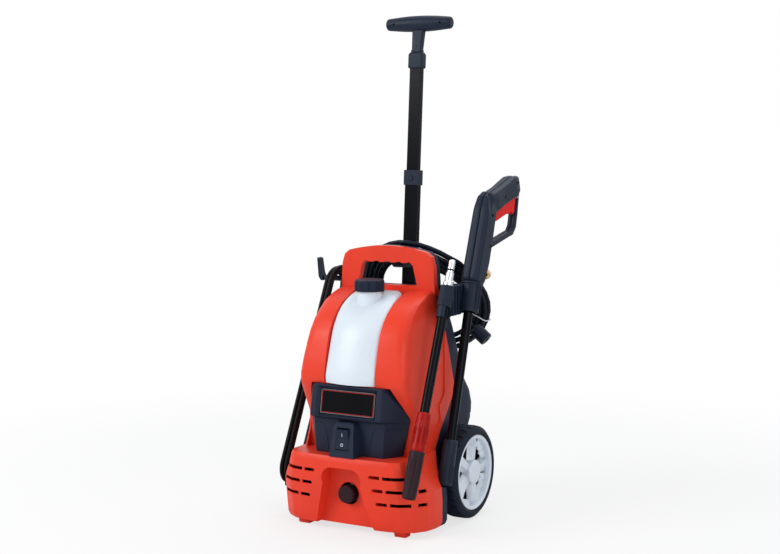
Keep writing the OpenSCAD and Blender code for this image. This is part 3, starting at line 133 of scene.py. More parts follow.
# moulded plastic: fine grain and faint flow mottle
def mouldedPlastic(name, colour, rough, grainSize=0.0006, depth=0.00006, mottle=0.05, shine=0.2):
    finish, nodes, links, shader = newFinish(name)
    flow = noiseField(nodes, links, patch["flow"], 3)
    tint = tintBetween(nodes, links, flow, shade(colour, 1 - mottle), shade(colour, 1 + mottle))
    links.new(tint, shader.inputs["Base Color"])
    links.new(spread(nodes, links, flow, rough - 0.04, rough + 0.04), shader.inputs["Roughness"])
    grain(nodes, links, shader, noiseField(nodes, links, grainSize, 2), depth)
    shader.inputs["Specular IOR Level"].default_value = shine
    return finish


# machined or brushed metal with fine streaks along one way
def turnedMetal(name, colour, rough, stretch, depth=0.00001):
    finish, nodes, links, shader = newFinish(name)
    streaks = noiseField(nodes, links, patch["streak"], 3, stretch)
    shader.inputs["Metallic"].default_value = 1
    tint = tintBetween(nodes, links, streaks, shade(colour, 0.86), shade(colour, 1.06))
    links.new(tint, shader.inputs["Base Color"])
    links.new(spread(nodes, links, streaks, rough - 0.06, rough + 0.08), shader.inputs["Roughness"])
    grain(nodes, links, shader, streaks, depth)
    return finish


# silver lacquer: flakes under a clear coat
def silverPaint(name, colour):
    finish, nodes, links, shader = newFinish(name)
    flakes = nodes.new("ShaderNodeTexVoronoi")
    flakes.inputs["Scale"].default_value = 1 / patch["flake"]
    place = nodes.new("ShaderNodeTexCoord")
    links.new(place.outputs["Object"], flakes.inputs["Vector"])
    away = flakes.outputs["Distance"]
    tint = tintBetween(nodes, links, away, shade(colour, 0.93), shade(colour, 1.05), 0.1, 0.8)
    links.new(tint, shader.inputs["Base Color"])
    shader.inputs["Metallic"].default_value = 0.15
    shader.inputs["Specular IOR Level"].default_value = 0.3
    lacquer = noiseField(nodes, links, patch["lacquer"])
    links.new(spread(nodes, links, lacquer, 0.30, 0.42), shader.inputs["Roughness"])
    shader.inputs["Coat Weight"].default_value = 0.1
    shader.inputs["Coat Roughness"].default_value = 0.12
    return finish


# blow-moulded milky tank: light passes into the wall and blurs
def milkyPlastic(name, colour):
    finish, nodes, links, shader = newFinish(name)
    cloud = noiseField(nodes, links, patch["cloud"], 3, (1.0, 1.0, 0.35))
    tint = tintBetween(nodes, links, cloud, shade(colour, 0.985), shade(colour, 1.01))
    links.new(tint, shader.inputs["Base Color"])
    shader.inputs["Subsurface Weight"].default_value = 0.25
    shader.inputs["Subsurface Radius"].default_value = (0.012, 0.014, 0.018)
    shader.inputs["Subsurface Scale"].default_value = 0.5
    shader.inputs["Specular IOR Level"].default_value = 0.3
    links.new(spread(nodes, links, cloud, 0.26, 0.36), shader.inputs["Roughness"])
    grain(nodes, links, shader, noiseField(nodes, links, patch["pebble"], 2), 0.00003, 0.6)
    return finish


# rubber with a little dust in its lows
def rubber(name, colour, rough, size=0.0015, depth=0.00008):
    finish, nodes, links, shader = newFinish(name)
    dust = noiseField(nodes, links, patch["dust"], 4)
    tint = tintBetween(nodes, links, dust, shade(colour, 0.8), shade(colour, 1.35))
    links.new(tint, shader.inputs["Base Color"])
    links.new(spread(nodes, links, dust, rough - 0.06, rough + 0.06), shader.inputs["Roughness"])
    grain(nodes, links, shader, noiseField(nodes, links, size, 3), depth)
    shader.inputs["Specular IOR Level"].default_value = 0.13
    return finish


finishes = {
    "red_housing": mouldedPlastic("redHousing", (0.82, 0.050, 0.021), 0.36, mottle=0.03, shine=0.22),
    "black_housing": mouldedPlastic("blackHousing", (0.010, 0.018, 0.040), 0.50, shine=0.12),
    "navy_panel": mouldedPlastic("navyPanel", (0.013, 0.019, 0.040), 0.42, shine=0.18),
    "tank_clear": milkyPlastic("milkyTank", (0.76, 0.86, 0.97)),
    "black_part": mouldedPlastic("blackPart", (0.012, 0.019, 0.037), 0.42, shine=0.14),
    "plate_black": mouldedPlastic(
        "plateFilm", (0.002, 0.002, 0.003), 0.20, depth=0.00001, mottle=0.2, shine=0.08
    ),
    "wheel_silver": silverPaint("wheelSilver", (0.73, 0.79, 0.86)),
    "tyre_black": rubber("tyreRubber", (0.008, 0.013, 0.023), 0.62),
    "steel": turnedMetal("turnedSteel", (0.55, 0.57, 0.60), 0.32, (1, 8, 8)),
    "brass": turnedMetal("turnedBrass", (0.70, 0.48, 0.22), 0.28, (1, 8, 1)),
    "tube_black": mouldedPlastic("powderCoat", (0.002, 0.003, 0.006), 0.22, 0.0011, 0.00002, shine=0.07),
    "trigger_red": mouldedPlastic("triggerRed", (0.80, 0.010, 0.008), 0.33, depth=0.00002, shine=0.1),
    "nozzle_red": mouldedPlastic("nozzleRed", (0.38, 0.008, 0.004), 0.28, depth=0.00003, shine=0.1),
    "nozzle_dark": mouldedPlastic("nozzleDark", (0.026, 0.012, 0.016), 0.46, shine=0.12),
    "spigot": turnedMetal("platedSpigot", (0.60, 0.62, 0.66), 0.20, (1, 1, 9)),
    "cord_rubber": rubber("cordRubber", (0.007, 0.006, 0.007), 0.42),
    "hose_rubber": rubber("hoseRubber", (0.005, 0.008, 0.016), 0.40),
    "tie_white": mouldedPlastic("tieWhite", (0.82, 0.85, 0.90), 0.45),
    "cast_metal": turnedMetal("castMetal", (0.50, 0.51, 0.53), 0.55, (1, 1, 1), 0.00006),
    "screw_black": mouldedPlastic("screwBlack", (0.004, 0.005, 0.008), 0.30, depth=0.00001, shine=0.1),
    "line_red": mouldedPlastic("lineRed", (0.50, 0.02, 0.018), 0.35, depth=0.00001),
    "line_grey": mouldedPlastic("lineGrey", (0.30, 0.31, 0.34), 0.35, depth=0.00001),
    "mark_white": mouldedPlastic("markWhite", (0.72, 0.74, 0.78), 0.4, depth=0.00001),
}
for name, node in cadNode.items():
    for slot in node.material_slots:
        slot.material = finishes[finishOfNode[name]]
print("finishes ready:", len(finishes))


# finish is None where the mesh already has its material
def addPiece(name, mesh, body, finish):
    piece = bpy.data.objects.new(name, mesh)
    bpy.context.scene.collection.objects.link(piece)
    if finish is not None:
        mesh.materials.clear()
        mesh.materials.append(finishes[finish])
    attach(piece, body)
    return piece


def smoothUnder(mesh, angle):
    mesh.shade_smooth()
    mesh.set_sharp_from_angle(angle=math.radians(angle))


mergeWithin = 2e-6  # metres
flatWithin = 0.6  # degrees: facets that turn less are one face


# a merged copy of a node with softened edges stands for it
def softened(node, width=0.7, crease=32, segments=2):
    source = cadNode[node]
    mesh = source.data.copy()
    mesh.name = node + "Skin"
    work = bmesh.new()
    work.from_mesh(mesh)
    bmesh.ops.remove_doubles(work, verts=work.verts, dist=mergeWithin)
    bmesh.ops.dissolve_limit(
        work, angle_limit=math.radians(flatWithin), use_dissolve_boundaries=False,
        verts=work.verts, edges=work.edges,
    )
    work.to_mesh(mesh)
    work.free()
    smoothUnder(mesh, crease)
    piece = addPiece(node + "Skin", mesh, bodyOfNode[node], finishOfNode[node])
    if width > 0:
        bevel = piece.modifiers.new("softEdge", "BEVEL")
        bevel.width = width * mm
        bevel.segments = segments
        bevel.limit_method = "ANGLE"
        bevel.angle_limit = math.radians(crease)
        bevel.use_clamp_overlap = True
        even = piece.modifiers.new("evenShade", "WEIGHTED_NORMAL")
        even.keep_sharp = True
        even.weight = 60
    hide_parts(node)
    return piece


offMiddle = 0.47  # keeps the cuts off the middle plane, where the source has edges


# cuts the faces into cells, so that shading can follow the form inside large faces
def gridCut(work, cell):
    low = [min(v.co[i] for v in work.verts) for i in range(3)]
    high = [max(v.co[i] for v in work.verts) for i in range(3)]
    for axis in range(3):
        way = Vector([float(axis == i) for i in range(3)])
        count = int((high[axis] - low[axis]) / cell)
        for k in range(1, count + 1):
            at = way * (low[axis] + (k - offMiddle) * cell)
            parts = []
            for face in work.faces:
                along = [v.co[axis] for v in face.verts]
                if min(along) < at[axis] < max(along):
                    parts.append(face)
            edges = {e for f in parts for e in f.edges}
            verts = {v for f in parts for v in f.verts}
            bmesh.ops.bisect_plane(work, geom=[*verts, *edges, *parts], dist=1e-5, plane_co=at, plane_no=way)


# each corner takes the mean direction of the faces round it that turn with it
def evenNormals(mesh, reach, crease):
    smoothUnder(mesh, crease)
    tree = KDTree(len(mesh.polygons))
    for face in mesh.polygons:
        tree.insert(face.center, face.index)
    tree.balance()
    areas = [face.area for face in mesh.polygons]
    ways = [face.normal.copy() for face in mesh.polygons]
    limit = math.cos(math.radians(crease))
    known, made = {}, []
    corners = [c.vector.copy() for c in mesh.corner_normals]
    for loop, own in zip(mesh.loops, corners):
        key = (loop.vertex_index, round(own.x, 3), round(own.y, 3), round(own.z, 3))
        if key not in known:
            mean = own * 1e-9  # so that a corner with no neighbours keeps its own
            for _, i, away in tree.find_range(mesh.vertices[loop.vertex_index].co, reach):
                if ways[i].dot(own) > limit:
                    mean = mean + ways[i] * (areas[i] * (1 - away / reach) ** 2)
            known[key] = mean.normalized()
        made.append(known[key])
    mesh.normals_split_custom_set(made)


# a softened node whose shading follows its whole form
def evenSkin(node, width, crease, segments, cell, reach):
    piece = softened(node, width, crease, segments)
    piece.modifiers.remove(piece.modifiers["evenShade"])
    graph = bpy.context.evaluated_depsgraph_get()
    mesh = bpy.data.meshes.new_from_object(piece.evaluated_get(graph), depsgraph=graph)
    piece.modifiers.clear()
    work = bmesh.new()
    work.from_mesh(mesh)
    gridCut(work, cell)
    work.to_mesh(mesh)
    work.free()
    evenNormals(mesh, reach, crease)
    piece.data = mesh
    return piece


# soft moulded form: an even mesh relaxed until its corners are round
def relaxed(node, voxel, passes, keep):
    piece = softened(node, width=0, crease=50, segments=1)
    even = piece.modifiers.new("evenMesh", "REMESH")
    even.mode = "VOXEL"
    even.voxel_size = voxel
    relax = piece.modifiers.new("relax", "SMOOTH")
    relax.factor = 0.5
    relax.iterations = passes
    thin = piece.modifiers.new("thin", "DECIMATE")
    thin.ratio = keep
    graph = bpy.context.evaluated_depsgraph_get()
    mesh = bpy.data.meshes.new_from_object(piece.evaluated_get(graph), depsgraph=graph)
    piece.modifiers.clear()
    smoothUnder(mesh, 60)
    piece.data = mesh
    return piece


def unit(v):
    return Vector(v).normalized()


# a round bar along points, as a curve
def tubeAlong(name, points, diameter, resolution):
    line = bpy.data.curves.new(name, "CURVE")
    line.dimensions = "3D"
    line.bevel_depth = diameter / 2
    line.bevel_resolution = resolution
    line.use_fill_caps = True
    spline = line.splines.new("POLY")
    spline.points.add(len(points) - 1)
    for p, q in zip(spline.points, points):
        p.co = (*q, 1)
    return line


def roundLine(name, points, diameter, body, finish):
    line = tubeAlong(name, points, diameter, 3)
    line.splines[0].use_smooth = True
    line.materials.append(finishes[finish])
    piece = bpy.data.objects.new(name, line)
    bpy.context.scene.collection.objects.link(piece)
    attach(piece, body)
    return piece


def lineLength(points):
    return sum((b - a).length for a, b in zip(points, points[1:]))


# smooth line through points, leaving the first and reaching the last along the given ways
def through(points, steps, leave, reach):
    made = []
    last = len(points) - 1
    before = points[0] - leave * (points[1] - points[0]).length
    after = points[last] + reach * (points[last] - points[last - 1]).length
    for i in range(last):
        a = points[i - 1] if i else before
        b, c = points[i], points[i + 1]
        e = points[i + 2] if i + 1 < last else after
        for k in range(steps):
            s = k / steps
            made.append(
                0.5
                * (2 * b + (c - a) * s + (2 * a - 5 * b + 4 * c - e) * s * s + (3 * b - a - 3 * c + e) * s**3)
            )
    return made + [points[last]]


# an arc that rounds a corner between two directions
def roundCorner(corner, came, goes, radius, count):
    turn = came.angle(goes)
    middle = corner + (goes - came).normalized() * (radius / math.cos(turn / 2))
    arm = corner - came * (radius * math.tan(turn / 2)) - middle
    axis = came.cross(goes).normalized()
    return [middle + Matrix.Rotation(turn * k / count, 3, axis) @ arm for k in range(count + 1)]


# from 0 to 1 with a soft start and end
def ease(x):
    c = min(1, max(0, x))
    return c * c * (3 - 2 * c)


# the hose: its coil hangs on the peg, leans back at the foot and bows back at its sides
hose = {
    "diameter": 8.6, "turns": 6.5, "start": 45, "pitch": 11, "layer": 11.5, "middle": Vector((22, 0, 395)),
    "halfWide": 113, "halfHigh": 107, "shear": 22, "rings": 24, "fineRings": 36,
    "depth": 6, "lean": 33, "swing": 30, "bow": 20,
    "endRadius": 36, "endStep": 4.5, "endPoints": 8,
    "tailLead": 26.5, "tailBend": Vector((132.2, 61.4, 420.7)), "tailReach": 62, "tailSteps": 22,
    "couplingAt": Vector((118.4, 68.7, 339.6)), "couplingWay": unit((0.77, 0.05, -0.64)),
}


def coilDepth(a):
    across = math.cos(a)
    leaned = hose["depth"] + hose["lean"] * (1 - math.sin(a))
    return leaned + hose["swing"] * across ** 3 + hose["bow"] * across ** 2


# it spirals in and out again, and climbs a layer in the half turn where it reverses
def coilPoint(turn):
    a = math.radians(hose["start"] + 360 * turn)
    inset = hose["pitch"] * min(turn, hose["turns"] - turn)
    layer = hose["layer"] * ease((turn - hose["turns"] / 2) * 2 + 0.5)
    return hose["middle"] + Vector((
        (hose["halfWide"] - inset) * math.cos(a) - hose["shear"] * math.sin(a),
        coilDepth(a) + layer,
        (hose["halfHigh"] - inset) * math.sin(a),
    ))


def bezierAt(points, t):
    while len(points) > 1:
        points = [a * (1 - t) + b * t for a, b in zip(points, points[1:])]
    return points[0]


def coilPoints(rings):
    return [coilPoint(i / rings) for i in range(int(hose["turns"] * rings) + 1)]


coarse, fine = coilPoints(hose["rings"]), coilPoints(hose["fineRings"])
coilIn = (coarse[1] - coarse[0]).normalized()
coilOut = (coarse[-1] - coarse[-2]).normalized()
coilFirst = coarse[0] - coilIn * hose["diameter"]
endRun = []
for i in range(hose["endPoints"], 0, -1):
    run = hose["endStep"] * i
    endRun.append(coarse[-1] + coilOut * run + Vector((0, run * run / 2 / hose["endRadius"], 0)))
tailGuides = [
    coilFirst, coilFirst - coilIn * hose["tailLead"], hose["tailBend"],
    hose["couplingAt"] - hose["couplingWay"] * hose["tailReach"], hose["couplingAt"],
]
tail = [bezierAt(tailGuides, i / hose["tailSteps"]) for i in range(hose["tailSteps"] + 1)]
hoseLine = [p * mm for p in endRun + fine[::-1] + tail]
hosePiece = roundLine("pressureHose", hoseLine, hose["diameter"] * mm, "housing", "hose_rubber")
couplingPieces = [softened("hose_coupling", width=0.5), softened("pump_end_coupling", width=0.5)]
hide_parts("hose_coil", "hose_tail")
print("hose wound:", round(lineLength(hoseLine), 2), "m")

# the mains cord: from its gland to the foot of the hank, round the two hooks, and over to the plug
cord = {
    "diameter": 7.2, "top": Vector((-116, -38, 419)), "foot": Vector((-158, -125, 92)), "turns": 4,
    "pitch": 8, "layer": 8.2, "radius": 37.5, "from": 2, "leg": 4, "bend": 8,
    "gland": Vector((-70, 91.3, 112)), "glandRun": 32, "glandSteps": 7, "hankRun": 36, "hankSteps": 8,
    "lead": [Vector((-112, 124, 158)), Vector((-134, 96, 190)), Vector((-138, 48, 201))], "leadSteps": 5,
    "bendRadius": 27, "loopRadius": 35, "loopRise": 79, "loopSteps": 7, "loopDrift": -0.6,
    "plugRise": (0, 20, 40, 60), "plugRun": 9, "plugSteps": 3,
}
back, left, down = Vector((0, 1, 0)), Vector((-1, 0, 0)), Vector((0, 0, -1))
hankRise = (cord["top"] - cord["foot"]).normalized()
hankOut = (left - hankRise * hankRise.dot(left)).normalized()
hankSide = hankOut.cross(hankRise)


# a lap of the hank: up a leg, over the top, down a leg and under the foot
def lapPoint(k, r):
    leg, bend, foot, top = cord["leg"], cord["bend"], cord["foot"], cord["top"]
    if k < leg:
        return foot + (top - foot) * k / leg + hankSide * r
    if k < leg + bend:
        a = math.radians((k - leg) * 180 / bend)
        return top + (hankSide * math.cos(a) + hankRise * math.sin(a)) * r
    if k < 2 * leg + bend:
        return top + (foot - top) * (k - leg - bend) / leg - hankSide * r
    a = math.radians(180 + (k - 2 * leg - bend) * 180 / bend)
    return foot + (hankSide * math.cos(a) + hankRise * math.sin(a)) * r


lapSteps = 2 * (cord["leg"] + cord["bend"])


# laps that spiral in and out again, with the climb of a layer along one leg
def hankPoint(n):
    turn = n / lapSteps
    r = cord["radius"] - cord["pitch"] * min(turn, cord["turns"] - turn)
    layer = cord["layer"] * (ease((turn - cord["turns"] / 2) * 4 + 0.5) - 0.5)
    return lapPoint((n + cord["from"]) % lapSteps, r) + hankOut * layer


hank = [hankPoint(n / 2) for n in range(2 * cord["turns"] * lapSteps + 1)]
leadCorner = cord["gland"] + back * cord["glandRun"]
leadGoes = (cord["lead"][0] - leadCorner).normalized()
leadOut = roundCorner(leadCorner, back, leadGoes, cord["bendRadius"], cord["glandSteps"])
hankCorner = hank[0] - hankRise * cord["hankRun"]
hankCame = (hankCorner - cord["lead"][-1]).normalized()
leadIn = roundCorner(hankCorner, hankCame, hankRise, cord["bendRadius"], cord["hankSteps"])
leadLeaves = (leadOut[-1] - leadOut[-2]).normalized()
leadPoints = through([leadOut[-1], *cord["lead"], leadIn[0]], cord["leadSteps"], leadLeaves, hankCame)

# after the hank it rises, turns over in a half loop and comes down to the plug
loopFrom = math.atan2(hankRise.z, hankRise.y)
loopFoot = hank[-1] + hankRise * cord["loopRise"]
loopPoints = []
for i in range(cord["loopSteps"] + 1):
    h = loopFrom - (loopFrom + math.pi / 2) * i / cord["loopSteps"]
    aside = cord["loopDrift"] * i
    behind = cord["loopRadius"] * (math.sin(loopFrom) - math.sin(h))
    above = cord["loopRadius"] * (math.cos(h) - math.cos(loopFrom))
    loopPoints.append(loopFoot + Vector((aside, behind, above)))
plugAt = loopPoints[-1] + down * cord["plugRun"]
plugPoints = [hank[-1] + hankRise * t for t in cord["plugRise"]] + loopPoints + [plugAt]
plugLine = through(plugPoints, cord["plugSteps"], hankRise, down)
cordLine = [p * mm for p in [cord["gland"], *leadOut, *leadPoints[1:-1], *leadIn, *hank, *plugLine[1:]]]
cordPiece = roundLine("mainsCord", cordLine, cord["diameter"] * mm, "housing", "cord_rubber")
plugPiece = softened("mains_plug", width=0.6)
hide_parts("mains_lead", "cord_hank", "plug_lead")
print("mains cord wound:", round(lineLength(cordLine), 2), "m")

# node: edge width in mm, crease in degrees, segments
softEdges = {
    "front_feet": (1.0, 30, 2), "tank_cap": (0.6, 30, 2), "control_bezel": (1.2, 24, 3),
    "nameplate": (0.3, 30, 2), "rocker_frame": (0.7, 30, 2), "rocker": (0.7, 30, 3),
    "outlet_fitting": (0.4, 30, 2), "outlet_cap": (0.5, 30, 2), "inlet_fitting": (0.5, 30, 2),
    "wheel_left": (0.8, 26, 2), "wheel_right": (0.8, 26, 2), "tyre_left": (0.4, 30, 2),
    "tyre_right": (0.4, 30, 2), "hub_cap_left": (0.4, 30, 2), "hub_cap_right": (0.4, 30, 2),
    "lower_tube": (0.8, 30, 2), "tube_head": (1.0, 30, 2), "tube_latch": (0.4, 30, 2),
    "upper_tube": (0.8, 30, 2), "tube_collar": (0.8, 34, 2), "pull_neck": (0.8, 40, 2),
    "pull_bar_front": (0.4, 40, 2), "pull_bar_rear": (0.4, 40, 2), "upper_cord_hook": (1.2, 30, 2),
    "lower_cord_hook": (1.2, 30, 2), "cord_gland": (0.3, 30, 2), "hose_tie": (0.0, 60, 1),
    "lance_holder": (0.8, 30, 2), "gun_trigger": (1.0, 30, 3), "gun_nut": (0.5, 30, 2),
    "spare_tube": (0.2, 30, 1), "spare_sleeve": (0.6, 30, 2), "lance_tip": (0.3, 30, 2),
    "lance_o_ring": (0.0, 60, 1), "lance_collar": (0.6, 30, 2), "lance_tube": (0.2, 30, 1),
    "nozzle_ring": (0.5, 30, 2), "nozzle": (0.5, 30, 2), "gun_valve": (0.3, 30, 1),
}
# node: edge width, crease, segments, cell in metres, reach of the shading in metres
formSkins = {
    "front_shell": (1.4, 20.5, 3, 0.012, 0.014), "rear_shell": (0.9, 34, 2, 0.016, 0.022),
    "detergent_tank": (1.2, 40, 3, 0.010, 0.020),
}
# node: cell in metres, passes, share of faces kept
relaxedForms = {
    "gun_left_shell": (0.0012, 22, 0.4), "gun_right_shell": (0.0012, 22, 0.4),
}
for name, (width, crease, segments) in softEdges.items():
    softened(name, width, crease, segments)
for name, values in formSkins.items():
    evenSkin(name, *values)
for name, values in relaxedForms.items():
    relaxed(name, *values)
print("edges softened:", len(softEdges) + len(formSkins) + len(relaxedForms))


def turnX(degrees):
    return Matrix.Rotation(math.radians(degrees), 4, "X")


def shift(x, y, z):
    return Matrix.Translation((x, y, z))


# the leaning frames of the gun, the lance, the plate and the rocker, in millimetres
onGun = shift(146.5, -13.2, 388) @ turnX(-16.7)
onLance = shift(138.8, -95.4, 398) @ turnX(-22.2)
onPlate = shift(0, -199.8, 231) @ turnX(-9.3) @ shift(0, 7, 0)
onRocker = shift(0, -210.5, 169) @ turnX(-10.6) @ shift(0, 6, 0) @ turnX(8)

trees = {}
inFront = -400  # well before the part, where the sight lines start


# where a node's front meets a line along +Y through (x, z), in millimetres, and which way it faces
def frontOf(node, x, z):
    if node not in trees:
        mesh = cadNode[node].data
        trees[node] = BVHTree.FromPolygons([v.co for v in mesh.vertices], [p.vertices for p in mesh.polygons])
    hit, way, _, _ = trees[node].ray_cast(Vector((x, inFront, z)) * mm, back)
    return hit / mm, way


def sitOn(node, x, z):
    hit, way = frontOf(node, x, z)
    return Matrix.Translation(hit) @ Vector((0, -1, 0)).rotation_difference(way).to_matrix().to_4x4()


# millimetres in a piece's own frame become metres in the part's frame
def placeMesh(mesh, place):
    mesh.transform(Matrix.Scale(mm, 4) @ place)
    return mesh


def meshOf(name, work):
    bmesh.ops.recalc_face_normals(work, faces=work.faces)
    mesh = bpy.data.meshes.new(name)
    work.to_mesh(mesh)
    work.free()
    return mesh


# joins each ring to the next, and the last to the first
def closeRings(work, rings):
    count = len(rings[0])
    for a, b in zip(rings, rings[1:] + rings[:1]):
        for k in range(count):
            work.faces.new((a[k], a[(k + 1) % count], b[(k + 1) % count], b[k]))


def lathe(name, profile, place, steps=64):
    work = bmesh.new()
    rings = []
    for r, z in profile:
        angles = [2 * math.pi * k / steps for k in range(steps)]
        rings.append([work.verts.new((r * math.cos(a), r * math.sin(a), z)) for a in angles])
    closeRings(work, rings)
    return placeMesh(meshOf(name, work), place)


# two border lines on the nameplate
plateLines = {
    "halfWide": 56.0, "halfHigh": 22.5, "thick": 1.2, "proud": 0.12, "depth": 0.3,
    "corner": 2.2, "leastCorner": 0.2, "cornerSteps": 5,
    "lines": [
        # name, inset, finish, width
        ("plateRedLine", 3.0, "line_red", 0.9),
        ("plateGreyLine", 1.4, "line_grey", 0.63),
    ],
}


# a band round the plate's edge that faces -Y
def plateBand(inset, width):
    halfWide, halfHigh = plateLines["halfWide"] - inset, plateLines["halfHigh"] - inset
    corner, steps = plateLines["corner"], plateLines["cornerSteps"]
    front = -plateLines["thick"] - plateLines["proud"]
    rear = front + plateLines["depth"]
    work = bmesh.new()
    rings = []
    for inward, y in ((0, rear), (0, front), (width, front), (width, rear)):
        r = max(corner - inward, plateLines["leastCorner"])
        ring = []
        for cx, cz, start in ((1, 1, 0), (-1, 1, 90), (-1, -1, 180), (1, -1, 270)):
            for k in range(steps + 1):
                a = math.radians(start + k * 90 / steps)
                x, z = cx * (halfWide - corner) + r * math.cos(a), cz * (halfHigh - corner) + r * math.sin(a)
                ring.append(work.verts.new((x, y, z)))
        rings.append(ring)
    closeRings(work, rings)
    return work


for name, inset, finish, width in plateLines["lines"]:
    band = placeMesh(meshOf(name, plateBand(inset, width)), onPlate)
    addPiece(name, band, "housing", finish)

# marks of the rocker: a bar for on, a ring for off
rockerMarks = {
    "barWide": 0.9, "barHigh": 6.0, "ring": 2.7, "line": 0.8, "steps": 32,
    "height": 8.8, "proud": 0.12, "depth": 0.3,
}


def markRing():
    outer, depth, steps = rockerMarks["ring"], rockerMarks["depth"], rockerMarks["steps"]
    inner = outer - rockerMarks["line"]
    angles = [2 * math.pi * k / steps for k in range(steps)]
    work = bmesh.new()
    rings = []
    for r, y in ((outer, depth), (outer, 0), (inner, 0), (inner, depth)):
        rings.append([work.verts.new((r * math.cos(a), y, r * math.sin(a))) for a in angles])
    closeRings(work, rings)
    return work


def markBar():
    depth = rockerMarks["depth"]
    size = Matrix.Diagonal((rockerMarks["barWide"], depth, rockerMarks["barHigh"], 1))
    work = bmesh.new()
    bmesh.ops.create_cube(work, size=1, matrix=shift(0, depth / 2, 0) @ size)
    return work


for name, work, side in (("rockerOnMark", markBar(), 1), ("rockerOffMark", markRing(), -1)):
    middle = onRocker @ Vector((0, 0, side * rockerMarks["height"]))
    place = sitOn("rocker", middle.x, middle.z) @ shift(0, -rockerMarks["proud"], 0)
    addPiece(name, placeMesh(meshOf(name, work), place), "switch", "mark_white")

# moulded ridges that frame the recesses beside the switch
panelRidge = {"path": [(92, 187), (60, 190), (52, 187), (48, 180), (41, 143)], "width": 1.7, "step": 2.5}


def ridgeMesh(name, side):
    points = []
    path = panelRidge["path"]
    for a, b in zip(path, path[1:]):
        count = max(1, int(math.dist(a, b) / panelRidge["step"]))
        for k in range(count + (b is path[-1])):
            x, z = [low + (high - low) * (k / count) for low, high in zip(a, b)]
            points.append(frontOf("control_bezel", side * x, z)[0] * mm)
    holder = bpy.data.objects.new(name, tubeAlong(name, points, panelRidge["width"] * mm, 2))
    mesh = bpy.data.meshes.new_from_object(holder)
    bpy.data.objects.remove(holder)
    mesh.name = name
    smoothUnder(mesh, 50)
    return mesh


for name, side in (("panelRidgeRight", 1), ("panelRidgeLeft", -1)):
    addPiece(name, ridgeMesh(name, side), "housing", "navy_panel")
print("plate lines, rocker marks and panel ridges laid")


def newTree(name, inputs):
    tree = bpy.data.node_groups.new(name, "GeometryNodeTree")
    tree.interface.new_socket(name="Geometry", in_out="INPUT", socket_type="NodeSocketGeometry")
    ids = {}
    for label, kind, value in inputs:
        socket = tree.interface.new_socket(name=label, in_out="INPUT", socket_type=kind)
        if value is not None:
            socket.default_value = value
        ids[label] = socket.identifier
    tree.interface.new_socket(name="Geometry", in_out="OUTPUT", socket_type="NodeSocketGeometry")
    return tree, tree.nodes.new("NodeGroupInput"), tree.nodes.new("NodeGroupOutput"), ids


# gives the tree's result on a mesh as a plain mesh
def runTree(name, seedMesh, maker, values):
    tree, ids = maker
    holder = bpy.data.objects.new(name, seedMesh)
    bpy.context.scene.collection.objects.link(holder)
    mod = holder.modifiers.new(name, "NODES")
    mod.node_group = tree
    for label, value in values.items():
        mod[ids[label]] = value
    bpy.context.view_layer.update()
    graph = bpy.context.evaluated_depsgraph_get()
    mesh = bpy.data.meshes.new_from_object(holder.evaluated_get(graph), depsgraph=graph)
    holder.modifiers.remove(mod)
    bpy.data.objects.remove(holder)
    return mesh


def joinedVector(tree, x=None, y=None, z=None):
    joined = tree.nodes.new("ShaderNodeCombineXYZ")
    for socket, value in zip(joined.inputs, (x, y, z)):
        if value is not None:
            tree.links.new(value, socket)
    return joined.outputs[0]


# the copies become real faces with their finish
def closeTree(tree, start, end, copies):
    real = tree.nodes.new("GeometryNodeRealizeInstances")
    tree.links.new(copies.outputs["Instances"], real.inputs["Geometry"])
    paint = tree.nodes.new("GeometryNodeSetMaterial")
    tree.links.new(real.outputs["Geometry"], paint.inputs["Geometry"])
    tree.links.new(start.outputs["Finish"], paint.inputs["Material"])
    tree.links.new(paint.outputs["Geometry"], end.inputs[0])


screwShape = {"sides": 20, "recessRise": 0.6, "mostTurn": 3.14, "crossShare": 0.28, "seed": 4}


